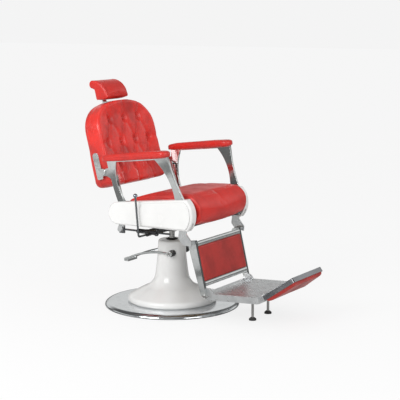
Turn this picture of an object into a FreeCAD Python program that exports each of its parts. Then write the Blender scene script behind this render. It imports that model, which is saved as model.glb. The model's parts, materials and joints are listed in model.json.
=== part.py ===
import FreeCAD, Part
import math
import os
import Sketcher

# A hydraulic barber chair, in millimetres. Z is up, the floor is Z = 0, the ram stands on the
# Z axis and the sitter looks along -Y. The sitter's left hand is on the +X side.

SIZES = {
    # base disc and pedestal
    "disc_radius": 350,
    "disc_top": 22,
    "disc_under": 8,
    "disc_rim_width": 28,
    "disc_edge": 6,
    "disc_hole": 30,
    "ring_width": 26,
    "cover_foot_radius": 226,
    "cover_neck_radius": 70,
    "cover_waist_radius": 90,
    "cover_waist_height": 128,
    "cover_top": 346,
    "cover_wall": 6,
    # hydraulic pump
    "cylinder_radius": 25,
    "cylinder_bore": 18,
    "cylinder_top": 318,
    "flange_radius": 56,
    "flange_thick": 12,
    "bolt_radius": 5,
    "bolt_circle": 42,
    "ram_radius": 15,
    "ram_foot": 60,
    "ram_top": 452,
    "ram_collar_radius": 26,
    "ram_collar_thick": 8,
    "running_gap": 0.06,
    "seal_thick": 6,
    "lever_shaft_y": -43,
    "lever_shaft_z": 284,
    "lever_shaft_radius": 8,
    "lever_shaft_half": 98,
    "bush_radius": 17,
    "bush_end": 85,
    "crank_reach": 24,
    "plunger_x": 36,
    "plunger_radius": 6,
    "plunger_length": 82,
    "barrel_radius": 11,
    "barrel_top": 238,
    "barrel_foot": 130,
    "lever_bar_radius": 6,
    "lever_spread": 92,
    "lever_tip_y": 278,
    "lever_tip_z": 212,
    "lever_tip_half": 34,
    # seat frame
    "rail_inner": 240,
    "rail_thick": 8,
    "rail_eye": 14,
    "rail_high": 546,
    "cross_low": 460,
    "cross_size": 30,
    "cross_wall": 3,
    "cross_front_y": -232,
    "mount_rail_y": 92,
    "board_thick": 12,
    "mount_plate_half": 58,
    "mount_plate_length": 112,
    "mount_plate_thick": 14,
    "hub_radius": 36,
    "hub_height": 65.7,
    "side_arm_y": -6,
    "side_arm_z": 412,
    "side_arm_height": 24,
    "side_arm_width": 40,
    # cushions
    "cushion_half": 237,
    "cushion_rear": 118,
    "cushion_rear_rise": 84,
    "cushion_crown_rise": 126,
    "cushion_nose": -322,
    "cushion_lip_drop": 34,
    "cushion_lip_y": -288,
    "cushion_lip_thick": 24,
    # white side panels
    "panel_inner": 242,
    "panel_outer": 284,
    "panel_raise": 4,
    "panel_wall": 5,
    "panel_rear": 201,
    "panel_front": -321,
    "panel_low": 450,
    "panel_rear_high": 563,
    "panel_tilt": 5.8,
    "panel_rear_high_y": 154,
    "panel_front_high_y": -279,
    "panel_corner": 9,
    "panel_step_y": 5,
    "panel_step_bow": 18,
    "panel_nose_run": 36,
    "panel_nose_rise": 86,
    "panel_tail_run": 50,
    "panel_tail_rise": 56,
    "leg_slot_length": 134,
    "leg_slot_depth": 42,
    "slot_play": 3,
    "boss_radius": 12,
    "boss_front_y": -150,
    "boss_pitch": 90,
    "boss_z": 476,
    # arms
    "arm_top_x": 303,
    "arm_top_z": 806,
    "arm_lean": 8.8,
    "arm_thick": 14,
    "arm_pad_tilt": 6.8,
    "arm_pad_length": 402,
    "arm_pad_width": 76,
    "arm_pad_rear_width": 58,
    "arm_pad_thick": 30,
    "arm_pad_front_y": -185,
    "front_leg_width": 54,
    "front_foot_y": -223,
    "rear_foot_y": 123,
    "foot_screw_radius": 3,
    "rear_leg_width": 46,
    "lug_height": 33,
    # backrest
    "back_pivot_y": 214,
    "back_pivot_z": 710,
    "back_tilt": 15,
    "back_half": 251,
    "back_foot_half": 238,
    "back_shoulder_half": 228,
    "back_low": -72,
    "back_shoulder": 270,
    "back_high": 360,
    "back_front": -11,
    "back_corner": 42,
    "back_side_bow": 160,
    "back_side_end": 56,
    "back_side_in": 5,
    "back_top_drop": 16,
    "back_edge_round": 16,
    "board_front": 43,
    "back_board_thick": 12,
    "back_rear_low": 98,
    "back_rear_high": 68,
    "bracket_thick": 5,
    "bracket_y": 60,
    "bracket_width": 36,
    "bracket_low": -30,
    "bracket_high": 108,
    "ear_thick": 5,
    "pivot_radius": 7,
    "button_radius": 9,
    "button_spread": 122,
    "button_low": 22,
    "button_rise": 120,
    "button_depth": 5,
    # recline linkage
    "crank_y": 145,
    "crank_z": 480,
    "shaft_radius": 7,
    "link_reach": 45,
    "link_drop": 5,
    "link_x": 252,
    "link_thick": 4.5,
    "link_width": 12,
    "pin_radius": 4,
    "push_reach": 35,
    "push_x": 264,
    "release_arm_x": 218,
    "release_arm_length": 66,
    "release_arm_back": 27,
    "lock_rod_x": 204,
    "lock_rod_radius": 5,
    "lock_rod_front": -120,
    "lock_housing_radius": 13,
    "lock_housing_length": 62,
    "lock_spring_length": 56,
    # recline lever
    "handle_x": 310,
    "handle_y": -2,
    "handle_z": 404,
    "handle_top": 610,
    "handle_radius": 5,
    "handle_lean": 5,
    "handle_bend": 12,
    "knob_radius": 11,
    # headrest
    "post_width": 32,
    "post_thick": 6,
    "post_low": 190,
    "tilt_y": 114,
    "tilt_z": 408,
    "pillow_rear": 97,
    "pillow_half": 96,
    # leg rest
    "leg_pivot_y": -232,
    "leg_pivot_z": 470,
    "leg_arm_x": 257.5,
    "leg_arm_thick": 6,
    "calf_lean": 13,
    "calf_half": 207,
    "channel_width": 18,
    "channel_top_depth": 44,
    "channel_foot_depth": 28,
    "calf_top_z": 392,
    "calf_top_y": -278,
    "calf_length": 272,
    "calf_panel_low": 201,
    "calf_bar": 25,
    "calf_pad_thick": 16,
    "tread_y": -318,
    "tread_z": 136,
    "tread_length": 305,
    "tread_tilt": 2.7,
    "tread_side": 33,
    "tread_skin": 8,
    "tread_bolt_radius": 4,
    "rib_pitch": 18,
    "tread_ear_length": 54,
    "tread_ear_height": 27,
    "ear_wall": 6,
    "lug_pitch": 75,
    "lug_width": 40,
    "flap_hinge_out": 12,
    "flap_hinge_up": 4,
    "flap_start": 10,
    "flap_drop": 3,
    "flap_length": 176,
    "flap_tilt": 36,
    "flap_tip_half": 158,
    "flap_side_in": 6,
    "flap_corner": 14,
    "flap_band": 24,
    "flap_skin": 3,
    "flap_pad_thick": 34,
    "hinge_pin_radius": 5,
    "foot_x": 80,
    "foot_y": -525,
    "foot_pad_radius": 18.5,
    "foot_pad_height": 14,
    "foot_stem_radius": 6.5,
    "foot_sleeve_radius": 11.5,
    "foot_sleeve_length": 44,
    "soft_gap": 0.4,
    "hard_gap": 0.3,
}


class Term:
    """A length or angle that knows its number and how the sheet works it out."""

    def __init__(self, text, value):
        self.text = text
        self.value = value

    def _join(self, other, sign, value):
        return Term(f"({self.text} {sign} {term(other).text})", value)

    def __add__(self, other):
        return self._join(other, "+", self.value + term(other).value)

    def __sub__(self, other):
        return self._join(other, "-", self.value - term(other).value)

    def __mul__(self, other):
        return self._join(other, "*", self.value * term(other).value)

    def __truediv__(self, other):
        return self._join(other, "/", self.value / term(other).value)

    def __neg__(self):
        return Term(f"(-1 * {self.text})", -self.value)

    __radd__ = __add__
    __rmul__ = __mul__

    def __rsub__(self, other):
        return term(other) - self


def term(number):
    """Anything used as a size, as a Term."""
    if isinstance(number, Term):
        return number
    return Term(repr(number), float(number))


def sine(angle):
    angle = term(angle)
    return Term(f"sin({angle.text} * 1 deg)", math.sin(math.radians(angle.value)))


def cosine(angle):
    angle = term(angle)
    return Term(f"cos({angle.text} * 1 deg)", math.cos(math.radians(angle.value)))


def tangent(angle):
    return sine(angle) / cosine(angle)


def arctangent(slope):
    """The angle in degrees whose tangent is the slope."""
    return Term(f"(atan({slope.text}) / 1 deg)", math.degrees(math.atan(slope.value)))


doc = FreeCAD.newDocument("BarberChair")
sheet = doc.addObject("Spreadsheet::Sheet", "Sizes")
for row, (name, number) in enumerate(SIZES.items(), start=1):
    sheet.set(f"A{row}", name)
    sheet.set(f"B{row}", str(number))
    sheet.setAlias(f"B{row}", name)
doc.recompute()


class SheetSizes:
    """Reads a size from the sheet by its name."""

    def __getattr__(self, name):
        return Term(f"Sizes.{name}", float(getattr(sheet, name)))


S = SheetSizes()
SUBPARTS = []


def vec(x, y, z=0.0):
    return FreeCAD.Vector(float(term(x).value), float(term(y).value), float(term(z).value))


def bind(thing, prop, size):
    thing.setExpression(prop, term(size).text)


def place(thing, x=0, y=0, z=0, axis=(1, 0, 0), turn=0):
    """Put a piece at a point, turned by an angle about an axis."""
    point = f"vector({term(x).text}; {term(y).text}; {term(z).text})"
    spin = f"rotation(vector({axis[0]}; {axis[1]}; {axis[2]}); {term(turn).text})"
    thing.setExpression("Placement", f"placement({point}; {spin})")


def keep(thing, label):
    """Note a finished piece under the name of its file."""
    thing.Label = label
    SUBPARTS.append(thing)
    return thing


def new_body(label):
    return keep(doc.addObject("PartDesign::Body", label + "_body"), label)


def plane_of(body, role):
    return [item for item in body.Origin.OriginFeatures if item.Role == role][0]


def sketch_on(body, name, role, offset=0):
    """An empty sketch on one of the body's own planes, moved along the plane's normal."""
    sketch = body.newObject("Sketcher::SketchObject", name)
    sketch.AttachmentSupport = [(plane_of(body, role), "")]
    sketch.MapMode = "FlatFace"
    bind(sketch, "AttachmentOffset.Base.z", offset)
    return sketch


def pin_point(sketch, edge, end, point):
    """Hold one point of an edge at two coordinates of the sheet."""
    for kind, size in (("DistanceX", term(point[0])), ("DistanceY", term(point[1]))):
        index = sketch.addConstraint(Sketcher.Constraint(kind, edge, end, size.value))
        sketch.setExpression(f"Constraints[{index}]", size.text)


def turns_left(a, b, c):
    return (b.x - a.x) * (c.y - b.y) - (b.y - a.y) * (c.x - b.x) > 0


def outline(sketch, path):
    """A closed outline. A step ("bow", across, up) bends the side between two corners."""
    corners = [step for step in path if step[0] != "bow"]
    bows = {}
    count = -1
    for step in path:
        if step[0] == "bow":
            bows[count] = step[1:]
        else:
            count += 1
    ends = []
    for number, corner in enumerate(corners):
        start = vec(*corner)
        stop = vec(*corners[(number + 1) % len(corners)])
        if number not in bows:
            ends.append((sketch.addGeometry(Part.LineSegment(start, stop)), 1, 2))
            continue
        middle = vec(*bows[number])
        if turns_left(start, middle, stop):
            ends.append((sketch.addGeometry(Part.Arc(start, middle, stop)), 1, 2))
        else:
            ends.append((sketch.addGeometry(Part.Arc(stop, middle, start)), 2, 1))
    for number, (edge, first, last) in enumerate(ends):
        following = ends[(number + 1) % len(ends)]
        join = Sketcher.Constraint("Coincident", edge, last, following[0], following[1])
        sketch.addConstraint(join)
        pin_point(sketch, edge, first, corners[number])
        if number in bows:
            mark = sketch.addGeometry(Part.Point(vec(*bows[number])), True)
            pin_point(sketch, mark, 1, bows[number])
            sketch.addConstraint(Sketcher.Constraint("PointOnObject", mark, 1, edge))
    return sketch


def circle(sketch, across, up, radius):
    edge = sketch.addGeometry(Part.Circle(vec(across, up), vec(0, 0, 1), term(radius).value))
    pin_point(sketch, edge, 3, (across, up))
    index = sketch.addConstraint(Sketcher.Constraint("Radius", edge, term(radius).value))
    sketch.setExpression(f"Constraints[{index}]", term(radius).text)
    return sketch


def rectangle(sketch, left, low, right, high):
    return outline(sketch, [(left, low), (right, low), (right, high), (left, high)])


def feature(body, kind, name, sketch):
    made = body.newObject("PartDesign::" + kind, name)
    made.Profile = sketch
    sketch.Visibility = False
    return made


def pad(body, name, sketch, length, both=False, reverse=False):
    made = feature(body, "Pad", name, sketch)
    bind(made, "Length", length)
    made.Midplane = both
    made.Reversed = reverse
    return made


def pocket(body, name, sketch, depth=None, both=False, reverse=False):
    """Cut a sketch out of the body, and make sure that it took something away."""
    doc.recompute()
    before = body.Shape.Volume
    made = feature(body, "Pocket", name, sketch)
    if depth is None:
        made.Type = "ThroughAll"
    else:
        bind(made, "Length", depth)
    made.Midplane = both
    made.Reversed = reverse
    doc.recompute()
    if not body.Shape.Volume < before:
        raise RuntimeError(f"{body.Label}: {name} cuts nothing")
    return made


def revolve(body, name, sketch, kind="Revolution"):
    """Turn a sketch once round its own upright axis."""
    made = feature(body, kind, name, sketch)
    made.ReferenceAxis = (sketch, ["V_Axis"])
    made.Angle = 360
    return made


def round_edges(body, name, radius, wanted):
    """Round the edges of the body that the test picks."""
    doc.recompute()
    base = body.Tip
    names = [f"Edge{i}" for i, edge in enumerate(base.Shape.Edges, start=1) if wanted(edge)]
    made = body.newObject("PartDesign::Fillet", name)
    made.Base = (base, names)
    bind(made, "Radius", radius)
    doc.recompute()
    return made


def ease_edges(body, name, size, wanted):
    """Take the sharp corner off the edges of the body that the test picks."""
    doc.recompute()
    base = body.Tip
    names = [f"Edge{i}" for i, edge in enumerate(base.Shape.Edges, start=1) if wanted(edge)]
    made = body.newObject("PartDesign::Chamfer", name)
    made.Base = (base, names)
    bind(made, "Size", size)
    doc.recompute()
    return made


def edges_near(axis, level, slack=0.5):
    """A test for edges that lie whole at one level of an axis."""
    level = term(level).value

    def wanted(edge):
        box = edge.BoundBox
        low = getattr(box, axis + "Min")
        high = getattr(box, axis + "Max")
        return abs(low - level) < slack and abs(high - level) < slack

    return wanted


def edges_along(axis, least):
    """A test for straight edges that run along an axis."""
    least = term(least).value

    def wanted(edge):
        box = edge.BoundBox
        runs = {"X": box.XLength, "Y": box.YLength, "Z": box.ZLength}
        across = max(length for name, length in runs.items() if name != axis)
        return runs[axis] > least and across < 0.01

    return wanted


def rod(name, radius, length, x=0, y=0, z=0, along="Z"):
    """A round bar that starts at a point and runs along an axis."""
    bar = doc.addObject("Part::Cylinder", name)
    bind(bar, "Radius", radius)
    bind(bar, "Height", length)
    axis = {"Z": (0, 0, 1), "X": (0, 1, 0), "Y": (1, 0, 0)}[along]
    turn = {"Z": 0, "X": 90, "Y": -90}[along]
    place(bar, x, y, z, axis, turn)
    return bar


def block(name, x, y, z, across, deep, high):
    """A box from its low corner and its three sizes."""
    box = doc.addObject("Part::Box", name)
    bind(box, "Length", across)
    bind(box, "Width", deep)
    bind(box, "Height", high)
    place(box, x, y, z)
    return box


def join(name, pieces):
    made = doc.addObject("Part::MultiFuse", name)
    made.Shapes = pieces
    return made


def cut(name, base, tool):
    made = doc.addObject("Part::Cut", name)
    made.Base = base
    made.Tool = tool
    return made


def group(name, pieces):
    """Several separate solids of one kind that share a name."""
    made = doc.addObject("Part::Compound", name)
    made.Links = pieces
    return made


def make_base_disc():
    body = new_body("base_plate")
    profile = sketch_on(body, "disc_profile", "XZ_Plane")
    outline(profile, [
        (S.disc_hole, S.disc_under),
        (S.disc_radius - S.disc_edge, S.disc_under),
        ("bow", S.disc_radius, S.disc_under + 4),
        (S.disc_radius - 3, S.disc_under + 8),
        ("bow", S.disc_radius - S.disc_rim_width * 0.43, S.disc_top - 2),
        (S.disc_radius - S.disc_rim_width, S.disc_top),
        (S.disc_hole, S.disc_top),
    ])
    revolve(body, "disc_turn", profile)
    holes = sketch_on(body, "disc_bolt_holes", "XY_Plane", S.disc_under)
    reach = S.bolt_circle * cosine(45)
    for across, up in ((1, 1), (-1, 1), (-1, -1), (1, -1)):
        circle(holes, reach * across, reach * up, S.bolt_radius)
    pocket(body, "disc_bolt_cut", holes, S.disc_top - S.disc_under, reverse=True)


def make_rubber_ring():
    outer = S.disc_radius - S.disc_edge
    ring = rod("ring_outside", outer, S.disc_under)
    inside = rod("ring_inside", outer - S.ring_width, S.disc_under + 2, z=-1)
    keep(cut("ring_cut", ring, inside), "base_rubber_ring")


def make_pedestal_cover():
    """The enamelled pedestal: one turned shell, waisted, that flares out over the disc."""
    body = new_body("pedestal_cover")
    profile = sketch_on(body, "cover_profile", "XZ_Plane")
    foot = S.cover_foot_radius
    waist = S.cover_waist_radius
    neck = S.cover_neck_radius
    wall = S.cover_wall
    floor = S.disc_top
    outline(profile, [
        (foot - 4, floor),
        (foot, floor + 8),
        ("bow", foot - 2, floor + 26),
        (foot - 18, floor + 40),
        (waist + 46, floor + 64),
        ("bow", waist + 10, floor + 82),
        (waist, S.cover_waist_height),
        (neck + 2, S.lever_shaft_z),
        (neck, S.cover_top - 14),
        ("bow", neck - 4, S.cover_top - 4),
        (neck - 14, S.cover_top),
        (S.cylinder_radius, S.cover_top),
        (S.cylinder_radius, S.cover_top - wall),
        (neck - 14, S.cover_top - wall),
        (neck - wall, S.cover_top - 16),
        (neck + 2 - wall, S.lever_shaft_z),
        (waist - wall, S.cover_waist_height - 2),
        ("bow", waist + 4, floor + 78),
        (waist + 44, floor + 57),
        (foot - 24, floor + 34),
        ("bow", foot - 9, floor + 22),
        (foot - 8, floor + 8),
        (foot - 12, floor),
    ])
    revolve(body, "cover_turn", profile)
    bore = sketch_on(body, "cover_bush_bore", "YZ_Plane")
    circle(bore, S.lever_shaft_y, S.lever_shaft_z, S.bush_radius)
    pocket(body, "cover_bush_cut", bore, S.disc_radius, both=True)


def make_pump_cylinder():
    body = new_body("pump_cylinder")
    profile = sketch_on(body, "cylinder_profile", "XZ_Plane")
    flange_top = S.disc_top + S.flange_thick
    outline(profile, [
        (0, S.disc_top),
        (S.flange_radius, S.disc_top),
        (S.flange_radius, flange_top),
        (S.cylinder_radius + 6, flange_top),
        (S.cylinder_radius, flange_top + 8),
        (S.cylinder_radius, S.cylinder_top),
        (S.cylinder_bore, S.cylinder_top),
        (S.cylinder_bore, S.ram_foot - 12),
        (0, S.ram_foot - 12),
    ])
    revolve(body, "cylinder_turn", profile)
    holes = sketch_on(body, "flange_holes", "XY_Plane", S.disc_top)
    reach = S.bolt_circle * cosine(45)
    for across, up in ((1, 1), (-1, 1), (-1, -1), (1, -1)):
        circle(holes, reach * across, reach * up, S.bolt_radius)
    pocket(body, "flange_cut", holes, S.flange_thick, reverse=True)


def make_flange_bolts():
    """Four bolts that hold the cylinder's flange down on the disc."""
    bolts = []
    reach = S.bolt_circle * cosine(45)
    top = S.disc_top + S.flange_thick
    for number, (across, up) in enumerate(((1, 1), (-1, 1), (-1, -1), (1, -1)), start=1):
        x, y = reach * across, reach * up
        shank = rod(f"flange_shank_{number}", S.bolt_radius, top - S.disc_under, x, y, S.disc_under)
        head = doc.addObject("Part::Prism", f"flange_head_{number}")
        head.Polygon = 6
        bind(head, "Circumradius", S.bolt_radius * 1.9)
        bind(head, "Height", S.bolt_radius * 1.4)
        place(head, x, y, top)
        bolts.append(join(f"flange_bolt_{number}", [shank, head]))
    keep(group("flange_bolt_set", bolts), "flange_bolts")


def make_ram_guides():
    """The bronze guide in the cylinder's mouth and the rubber wiper above it."""
    bore = S.ram_radius + S.running_gap
    guide = rod("guide_outside", S.cylinder_radius, S.cover_top - S.cylinder_top, z=S.cylinder_top)
    sleeve = rod("guide_sleeve", S.cylinder_bore, 70, z=S.cylinder_top - 70)
    hole = rod("guide_bore", bore, S.cover_top - S.cylinder_top + 80, z=S.cylinder_top - 75)
    keep(cut("guide_cut", join("guide_solid", [guide, sleeve]), hole), "ram_guide_bush")
    body = new_body("ram_wiper_seal")
    profile = sketch_on(body, "wiper_profile", "XZ_Plane")
    top = S.cover_top + S.seal_thick
    outline(profile, [
        (bore, S.cover_top),
        (S.cylinder_radius + 5, S.cover_top),
        (S.cylinder_radius + 5, S.cover_top + 2),
        (S.ram_radius + 5, top),
        (bore, top),
    ])
    revolve(body, "wiper_turn", profile)


def make_pump_block():
    """The cast pump body, clamped round the cylinder, with the barrel that the plunger runs in."""
    body = new_body("pump_block")
    plan = sketch_on(body, "block_plan", "XY_Plane", S.barrel_foot)
    back = S.cylinder_radius + 10
    plunger_y = S.lever_shaft_y + S.crank_reach
    outline(plan, [
        (-back, -back * 0.4),
        ("bow", 0, -back - 5),
        (S.plunger_x + 12, plunger_y - 15),
        ("bow", S.plunger_x + 17, plunger_y),
        (S.plunger_x + 12, plunger_y + 15),
        (back, back * 0.4),
        (-back, back * 0.4),
    ])
    pad(body, "block_pad", plan, S.barrel_radius * 3)
    barrel = sketch_on(body, "barrel_plan", "XY_Plane", S.barrel_foot)
    circle(barrel, S.plunger_x, plunger_y, S.barrel_radius)
    pad(body, "barrel_pad", barrel, S.barrel_top - S.barrel_foot)
    clamp = sketch_on(body, "clamp_bore", "XY_Plane", S.barrel_foot)
    circle(clamp, 0, 0, S.cylinder_radius)
    pocket(body, "clamp_cut", clamp, S.barrel_radius * 3, reverse=True)
    bore = sketch_on(body, "barrel_bore", "XY_Plane", S.barrel_foot + 8)
    circle(bore, S.plunger_x, plunger_y, S.plunger_radius + S.running_gap)
    pocket(body, "barrel_cut", bore, S.barrel_top - S.barrel_foot, reverse=True)


def make_lever_bushes():
    """Two flanged bushes in the pedestal that carry the pump shaft."""
    bushes = []
    start = S.plunger_x + 8
    for side, sign in (("left", 1), ("right", -1)):
        length = S.bush_end - start
        origin = start if sign > 0 else -S.bush_end
        outside = rod(f"bush_outside_{side}", S.bush_radius, length, origin,
                      S.lever_shaft_y, S.lever_shaft_z, "X")
        inside = rod(f"bush_inside_{side}", S.lever_shaft_radius + S.running_gap, length + 2,
                     origin - 1, S.lever_shaft_y, S.lever_shaft_z, "X")
        bushes.append(cut(f"bush_{side}", outside, inside))
    keep(group("bush_pair", bushes), "lever_bushes")


def make_lever_shaft():
    """The pump shaft and, keyed to its middle, the crank that works the plunger."""
    keep(rod("shaft_bar", S.lever_shaft_radius, S.lever_shaft_half * 2, -S.lever_shaft_half,
             S.lever_shaft_y, S.lever_shaft_z, "X"), "lever_shaft")
    body = new_body("lever_crank")
    start = S.plunger_x - 6
    side = sketch_on(body, "crank_side", "YZ_Plane", start)
    boss = S.lever_shaft_radius + 5
    tip_y = S.lever_shaft_y + S.crank_reach
    axis_z = S.lever_shaft_z
    outline(side, [
        (S.lever_shaft_y, axis_z - boss),
        ("bow", S.lever_shaft_y - boss, axis_z),
        (S.lever_shaft_y, axis_z + boss),
        (tip_y, axis_z + 6),
        ("bow", tip_y + 6, axis_z),
        (tip_y, axis_z - 6),
        (S.lever_shaft_y + boss * 0.885, axis_z - 6),
    ])
    pad(body, "crank_pad", side, 12)
    bore = sketch_on(body, "crank_bore", "YZ_Plane", start)
    circle(bore, S.lever_shaft_y, axis_z, S.lever_shaft_radius)
    pocket(body, "crank_cut", bore, 12, reverse=True)


def make_plunger():
    top = S.lever_shaft_z - 6 - S.hard_gap
    x, y = S.plunger_x, S.lever_shaft_y + S.crank_reach
    stem = rod("plunger_stem", S.plunger_radius, S.plunger_length, x, y, top - S.plunger_length)
    head = rod("plunger_head", S.plunger_radius + 3, 8, x, y, top - 8)
    keep(join("plunger_solid", [stem, head]), "pump_plunger")


def lever_arm(body, side, sign):
    """One bar of the foot lever, humped, from its eye down to the pedal."""
    run = S.lever_tip_y - S.lever_shaft_y
    drop = S.lever_shaft_z - S.lever_tip_z
    swing = arctangent((S.lever_spread - S.lever_tip_half) / run) * sign
    path = body.newObject("Sketcher::SketchObject", f"lever_path_{side}")
    path.AttachmentSupport = [(plane_of(body, "YZ_Plane"), "")]
    path.MapMode = "FlatFace"
    path.setExpression("AttachmentOffset", (
        f"placement(vector({S.lever_shaft_y.text}; {S.lever_shaft_z.text};"
        f" {(S.lever_spread * sign).text}); rotation(vector(0; 1; 0); {swing.text}))"))
    hump = (run * 0.45, drop * -0.14)
    bend = path.addGeometry(Part.Arc(vec(run, -drop), vec(*hump), vec(0, 0)))
    pin_point(path, bend, 1, (run, -drop))
    pin_point(path, bend, 2, (0, 0))
    mark = path.addGeometry(Part.Point(vec(*hump)), True)
    pin_point(path, mark, 1, hump)
    path.addConstraint(Sketcher.Constraint("PointOnObject", mark, 1, bend))
    ring = sketch_on(body, f"lever_section_{side}", "XZ_Plane")
    ring.setExpression("AttachmentOffset", (
        f"placement(vector({(S.lever_spread * sign).text}; {S.lever_shaft_z.text};"
        f" {(-S.lever_shaft_y).text}); rotation(vector(0; 0; 1); 0))"))
    circle(ring, 0, 0, S.lever_bar_radius)
    pipe = feature(body, "AdditivePipe", f"lever_bar_{side}", ring)
    pipe.Spine = (path, ["Edge1"])
    return pipe


def make_foot_lever():
    """The forked foot lever: two bent bars that meet in a narrow pedal."""
    body = new_body("foot_lever")
    body.AllowCompound = True
    lever_arm(body, "left", 1)
    lever_arm(body, "right", -1)
    pedal = sketch_on(body, "pedal_plan", "XY_Plane", S.lever_tip_z)
    outline(pedal, [
        (-S.lever_tip_half - 8, S.lever_tip_y - 30),
        (-S.lever_tip_half - 2, S.lever_tip_y),
        ("bow", 0, S.lever_tip_y + 14),
        (S.lever_tip_half + 2, S.lever_tip_y),
        (S.lever_tip_half + 8, S.lever_tip_y - 30),
    ])
    pad(body, "pedal_pad", pedal, S.lever_bar_radius * 2, both=True)
    eyes = sketch_on(body, "eye_side", "YZ_Plane")
    circle(eyes, S.lever_shaft_y, S.lever_shaft_z, S.lever_shaft_radius + 5)
    pad(body, "eye_pad", eyes, (S.lever_spread + 6) * 2, both=True)
    middle = sketch_on(body, "eye_gap", "YZ_Plane")
    circle(middle, S.lever_shaft_y, S.lever_shaft_z, S.bush_radius + S.soft_gap)
    pocket(body, "eye_gap_cut", middle, (S.bush_end + S.hard_gap) * 2, both=True)
    bore = sketch_on(body, "eye_bore", "YZ_Plane")
    circle(bore, S.lever_shaft_y, S.lever_shaft_z, S.lever_shaft_radius)
    pocket(body, "eye_bore_cut", bore, (S.lever_spread + 20) * 2, both=True)


def hub_foot():
    """The height of the seat mount's lower end, just above the ram's collar."""
    return S.cross_low - S.hub_height


def make_ram():
    body = new_body("ram")
    profile = sketch_on(body, "ram_profile", "XZ_Plane")
    collar_top = hub_foot() - S.hard_gap
    collar_foot = collar_top - S.ram_collar_thick
    outline(profile, [
        (0, S.ram_foot),
        (S.ram_radius, S.ram_foot),
        (S.ram_radius, collar_foot),
        (S.ram_collar_radius, collar_foot + 2),
        (S.ram_collar_radius, collar_top),
        (S.ram_radius, collar_top),
        (S.ram_radius, S.ram_top - 3),
        (S.ram_radius - 3, S.ram_top),
        (0, S.ram_top),
    ])
    revolve(body, "ram_turn", profile)


def panel_top(y):
    """The height of the side panel's top edge at a place along the chair."""
    return S.panel_rear_high + (S.panel_rear_high_y - y) * tangent(S.panel_tilt)


def reflected(piece, name):
    """The mirror image of a piece on the other side of the chair."""
    other = doc.addObject("Part::Mirroring", name)
    other.Source = piece
    other.Normal = FreeCAD.Vector(1, 0, 0)
    return other


def mirrored(piece, label):
    """The same piece on the other side of the chair, as a node of its own."""
    return keep(reflected(piece, label + "_mirror"), label)


def make_seat_mount():
    """The cast mount on the ram: hub, plate under the cross rails and one arm for the lock."""
    body = new_body("seat_mount")
    seat_on = hub_foot()
    hub = sketch_on(body, "hub_plan", "XY_Plane", seat_on)
    circle(hub, 0, 0, S.hub_radius)
    pad(body, "hub_pad", hub, S.cross_low - seat_on)
    plate = sketch_on(body, "plate_plan", "XY_Plane", S.cross_low - S.mount_plate_thick)
    half, long = S.mount_plate_half, S.mount_plate_length
    outline(plate, [
        (-half, -long),
        (half, -long),
        (half, -long + S.cross_size),
        ("bow", S.hub_radius - 2, 0),
        (half, long - S.cross_size),
        (half, long),
        (-half, long),
        (-half, long - S.cross_size),
        ("bow", 2 - S.hub_radius, 0),
        (-half, -long + S.cross_size),
    ])
    pad(body, "plate_pad", plate, S.mount_plate_thick)
    arm_low = S.side_arm_z - S.side_arm_height / 2
    arm = sketch_on(body, "lock_arm_plan", "XY_Plane", arm_low)
    low_y = S.side_arm_y - S.side_arm_width / 2
    high_y = S.side_arm_y + S.side_arm_width / 2
    outline(arm, [
        (-S.lock_rod_x, low_y),
        (0, low_y),
        ("bow", S.side_arm_width / 2, S.side_arm_y),
        (0, high_y),
        (-S.lock_rod_x, high_y),
    ])
    pad(body, "lock_arm_pad", arm, S.side_arm_height)
    collar = sketch_on(body, "lock_collar_bore", "XZ_Plane")
    circle(collar, -S.lock_rod_x, S.side_arm_z, S.lock_housing_radius)
    pocket(body, "lock_collar_cut", collar, S.cushion_half, both=True)
    bore = sketch_on(body, "ram_bore", "XY_Plane", seat_on)
    circle(bore, 0, 0, S.ram_radius + S.running_gap)
    pocket(body, "ram_bore_cut", bore, S.ram_top - seat_on + 1, reverse=True)
    holes = sketch_on(body, "mount_holes", "XY_Plane", S.cross_low)
    for across, up in ((1, 1), (-1, 1), (-1, -1), (1, -1)):
        circle(holes, (half - 16) * across, S.mount_rail_y * up, S.bolt_radius)
    pocket(body, "mount_hole_cut", holes, S.mount_plate_thick)


def side_rail():
    """The steel plate that carries the hinges, the arms' panel and the board on one side."""
    body = doc.addObject("PartDesign::Body", "side_rail_body")
    side = sketch_on(body, "rail_side", "YZ_Plane", S.rail_inner)
    eye = S.rail_eye
    outline(side, [
        (S.leg_pivot_y, S.leg_pivot_z - eye),
        (S.crank_y - 50, S.leg_pivot_z - eye),
        (S.crank_y, S.crank_z - eye),
        ("bow", S.crank_y + eye, S.crank_z),
        (S.crank_y, S.crank_z + eye),
        (S.crank_y - 30, S.rail_high),
        (S.leg_pivot_y + 40, S.rail_high),
        (S.leg_pivot_y - eye * 0.6, S.leg_pivot_z + eye * 0.8),
        ("bow", S.leg_pivot_y - eye, S.leg_pivot_z),
    ])
    pad(body, "rail_pad", side, S.rail_thick)
    holes = sketch_on(body, "rail_holes", "YZ_Plane", S.rail_inner)
    circle(holes, S.leg_pivot_y, S.leg_pivot_z, S.pivot_radius)
    circle(holes, S.crank_y, S.crank_z, S.shaft_radius + S.running_gap)
    pocket(body, "rail_hole_cut", holes, S.rail_thick, reverse=True)
    return body


def cross_tube(name, y):
    """A square tube from one side rail to the other."""
    size, wall = S.cross_size, S.cross_wall
    outer = block(f"cross_{name}_outer", -S.rail_inner, y - size / 2, S.cross_low,
                  S.rail_inner * 2, size, size)
    inner = block(f"cross_{name}_inner", -S.rail_inner, y - size / 2 + wall,
                  S.cross_low + wall, S.rail_inner * 2, size - wall * 2, size - wall * 2)
    return cut(f"cross_{name}", outer, inner)


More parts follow.
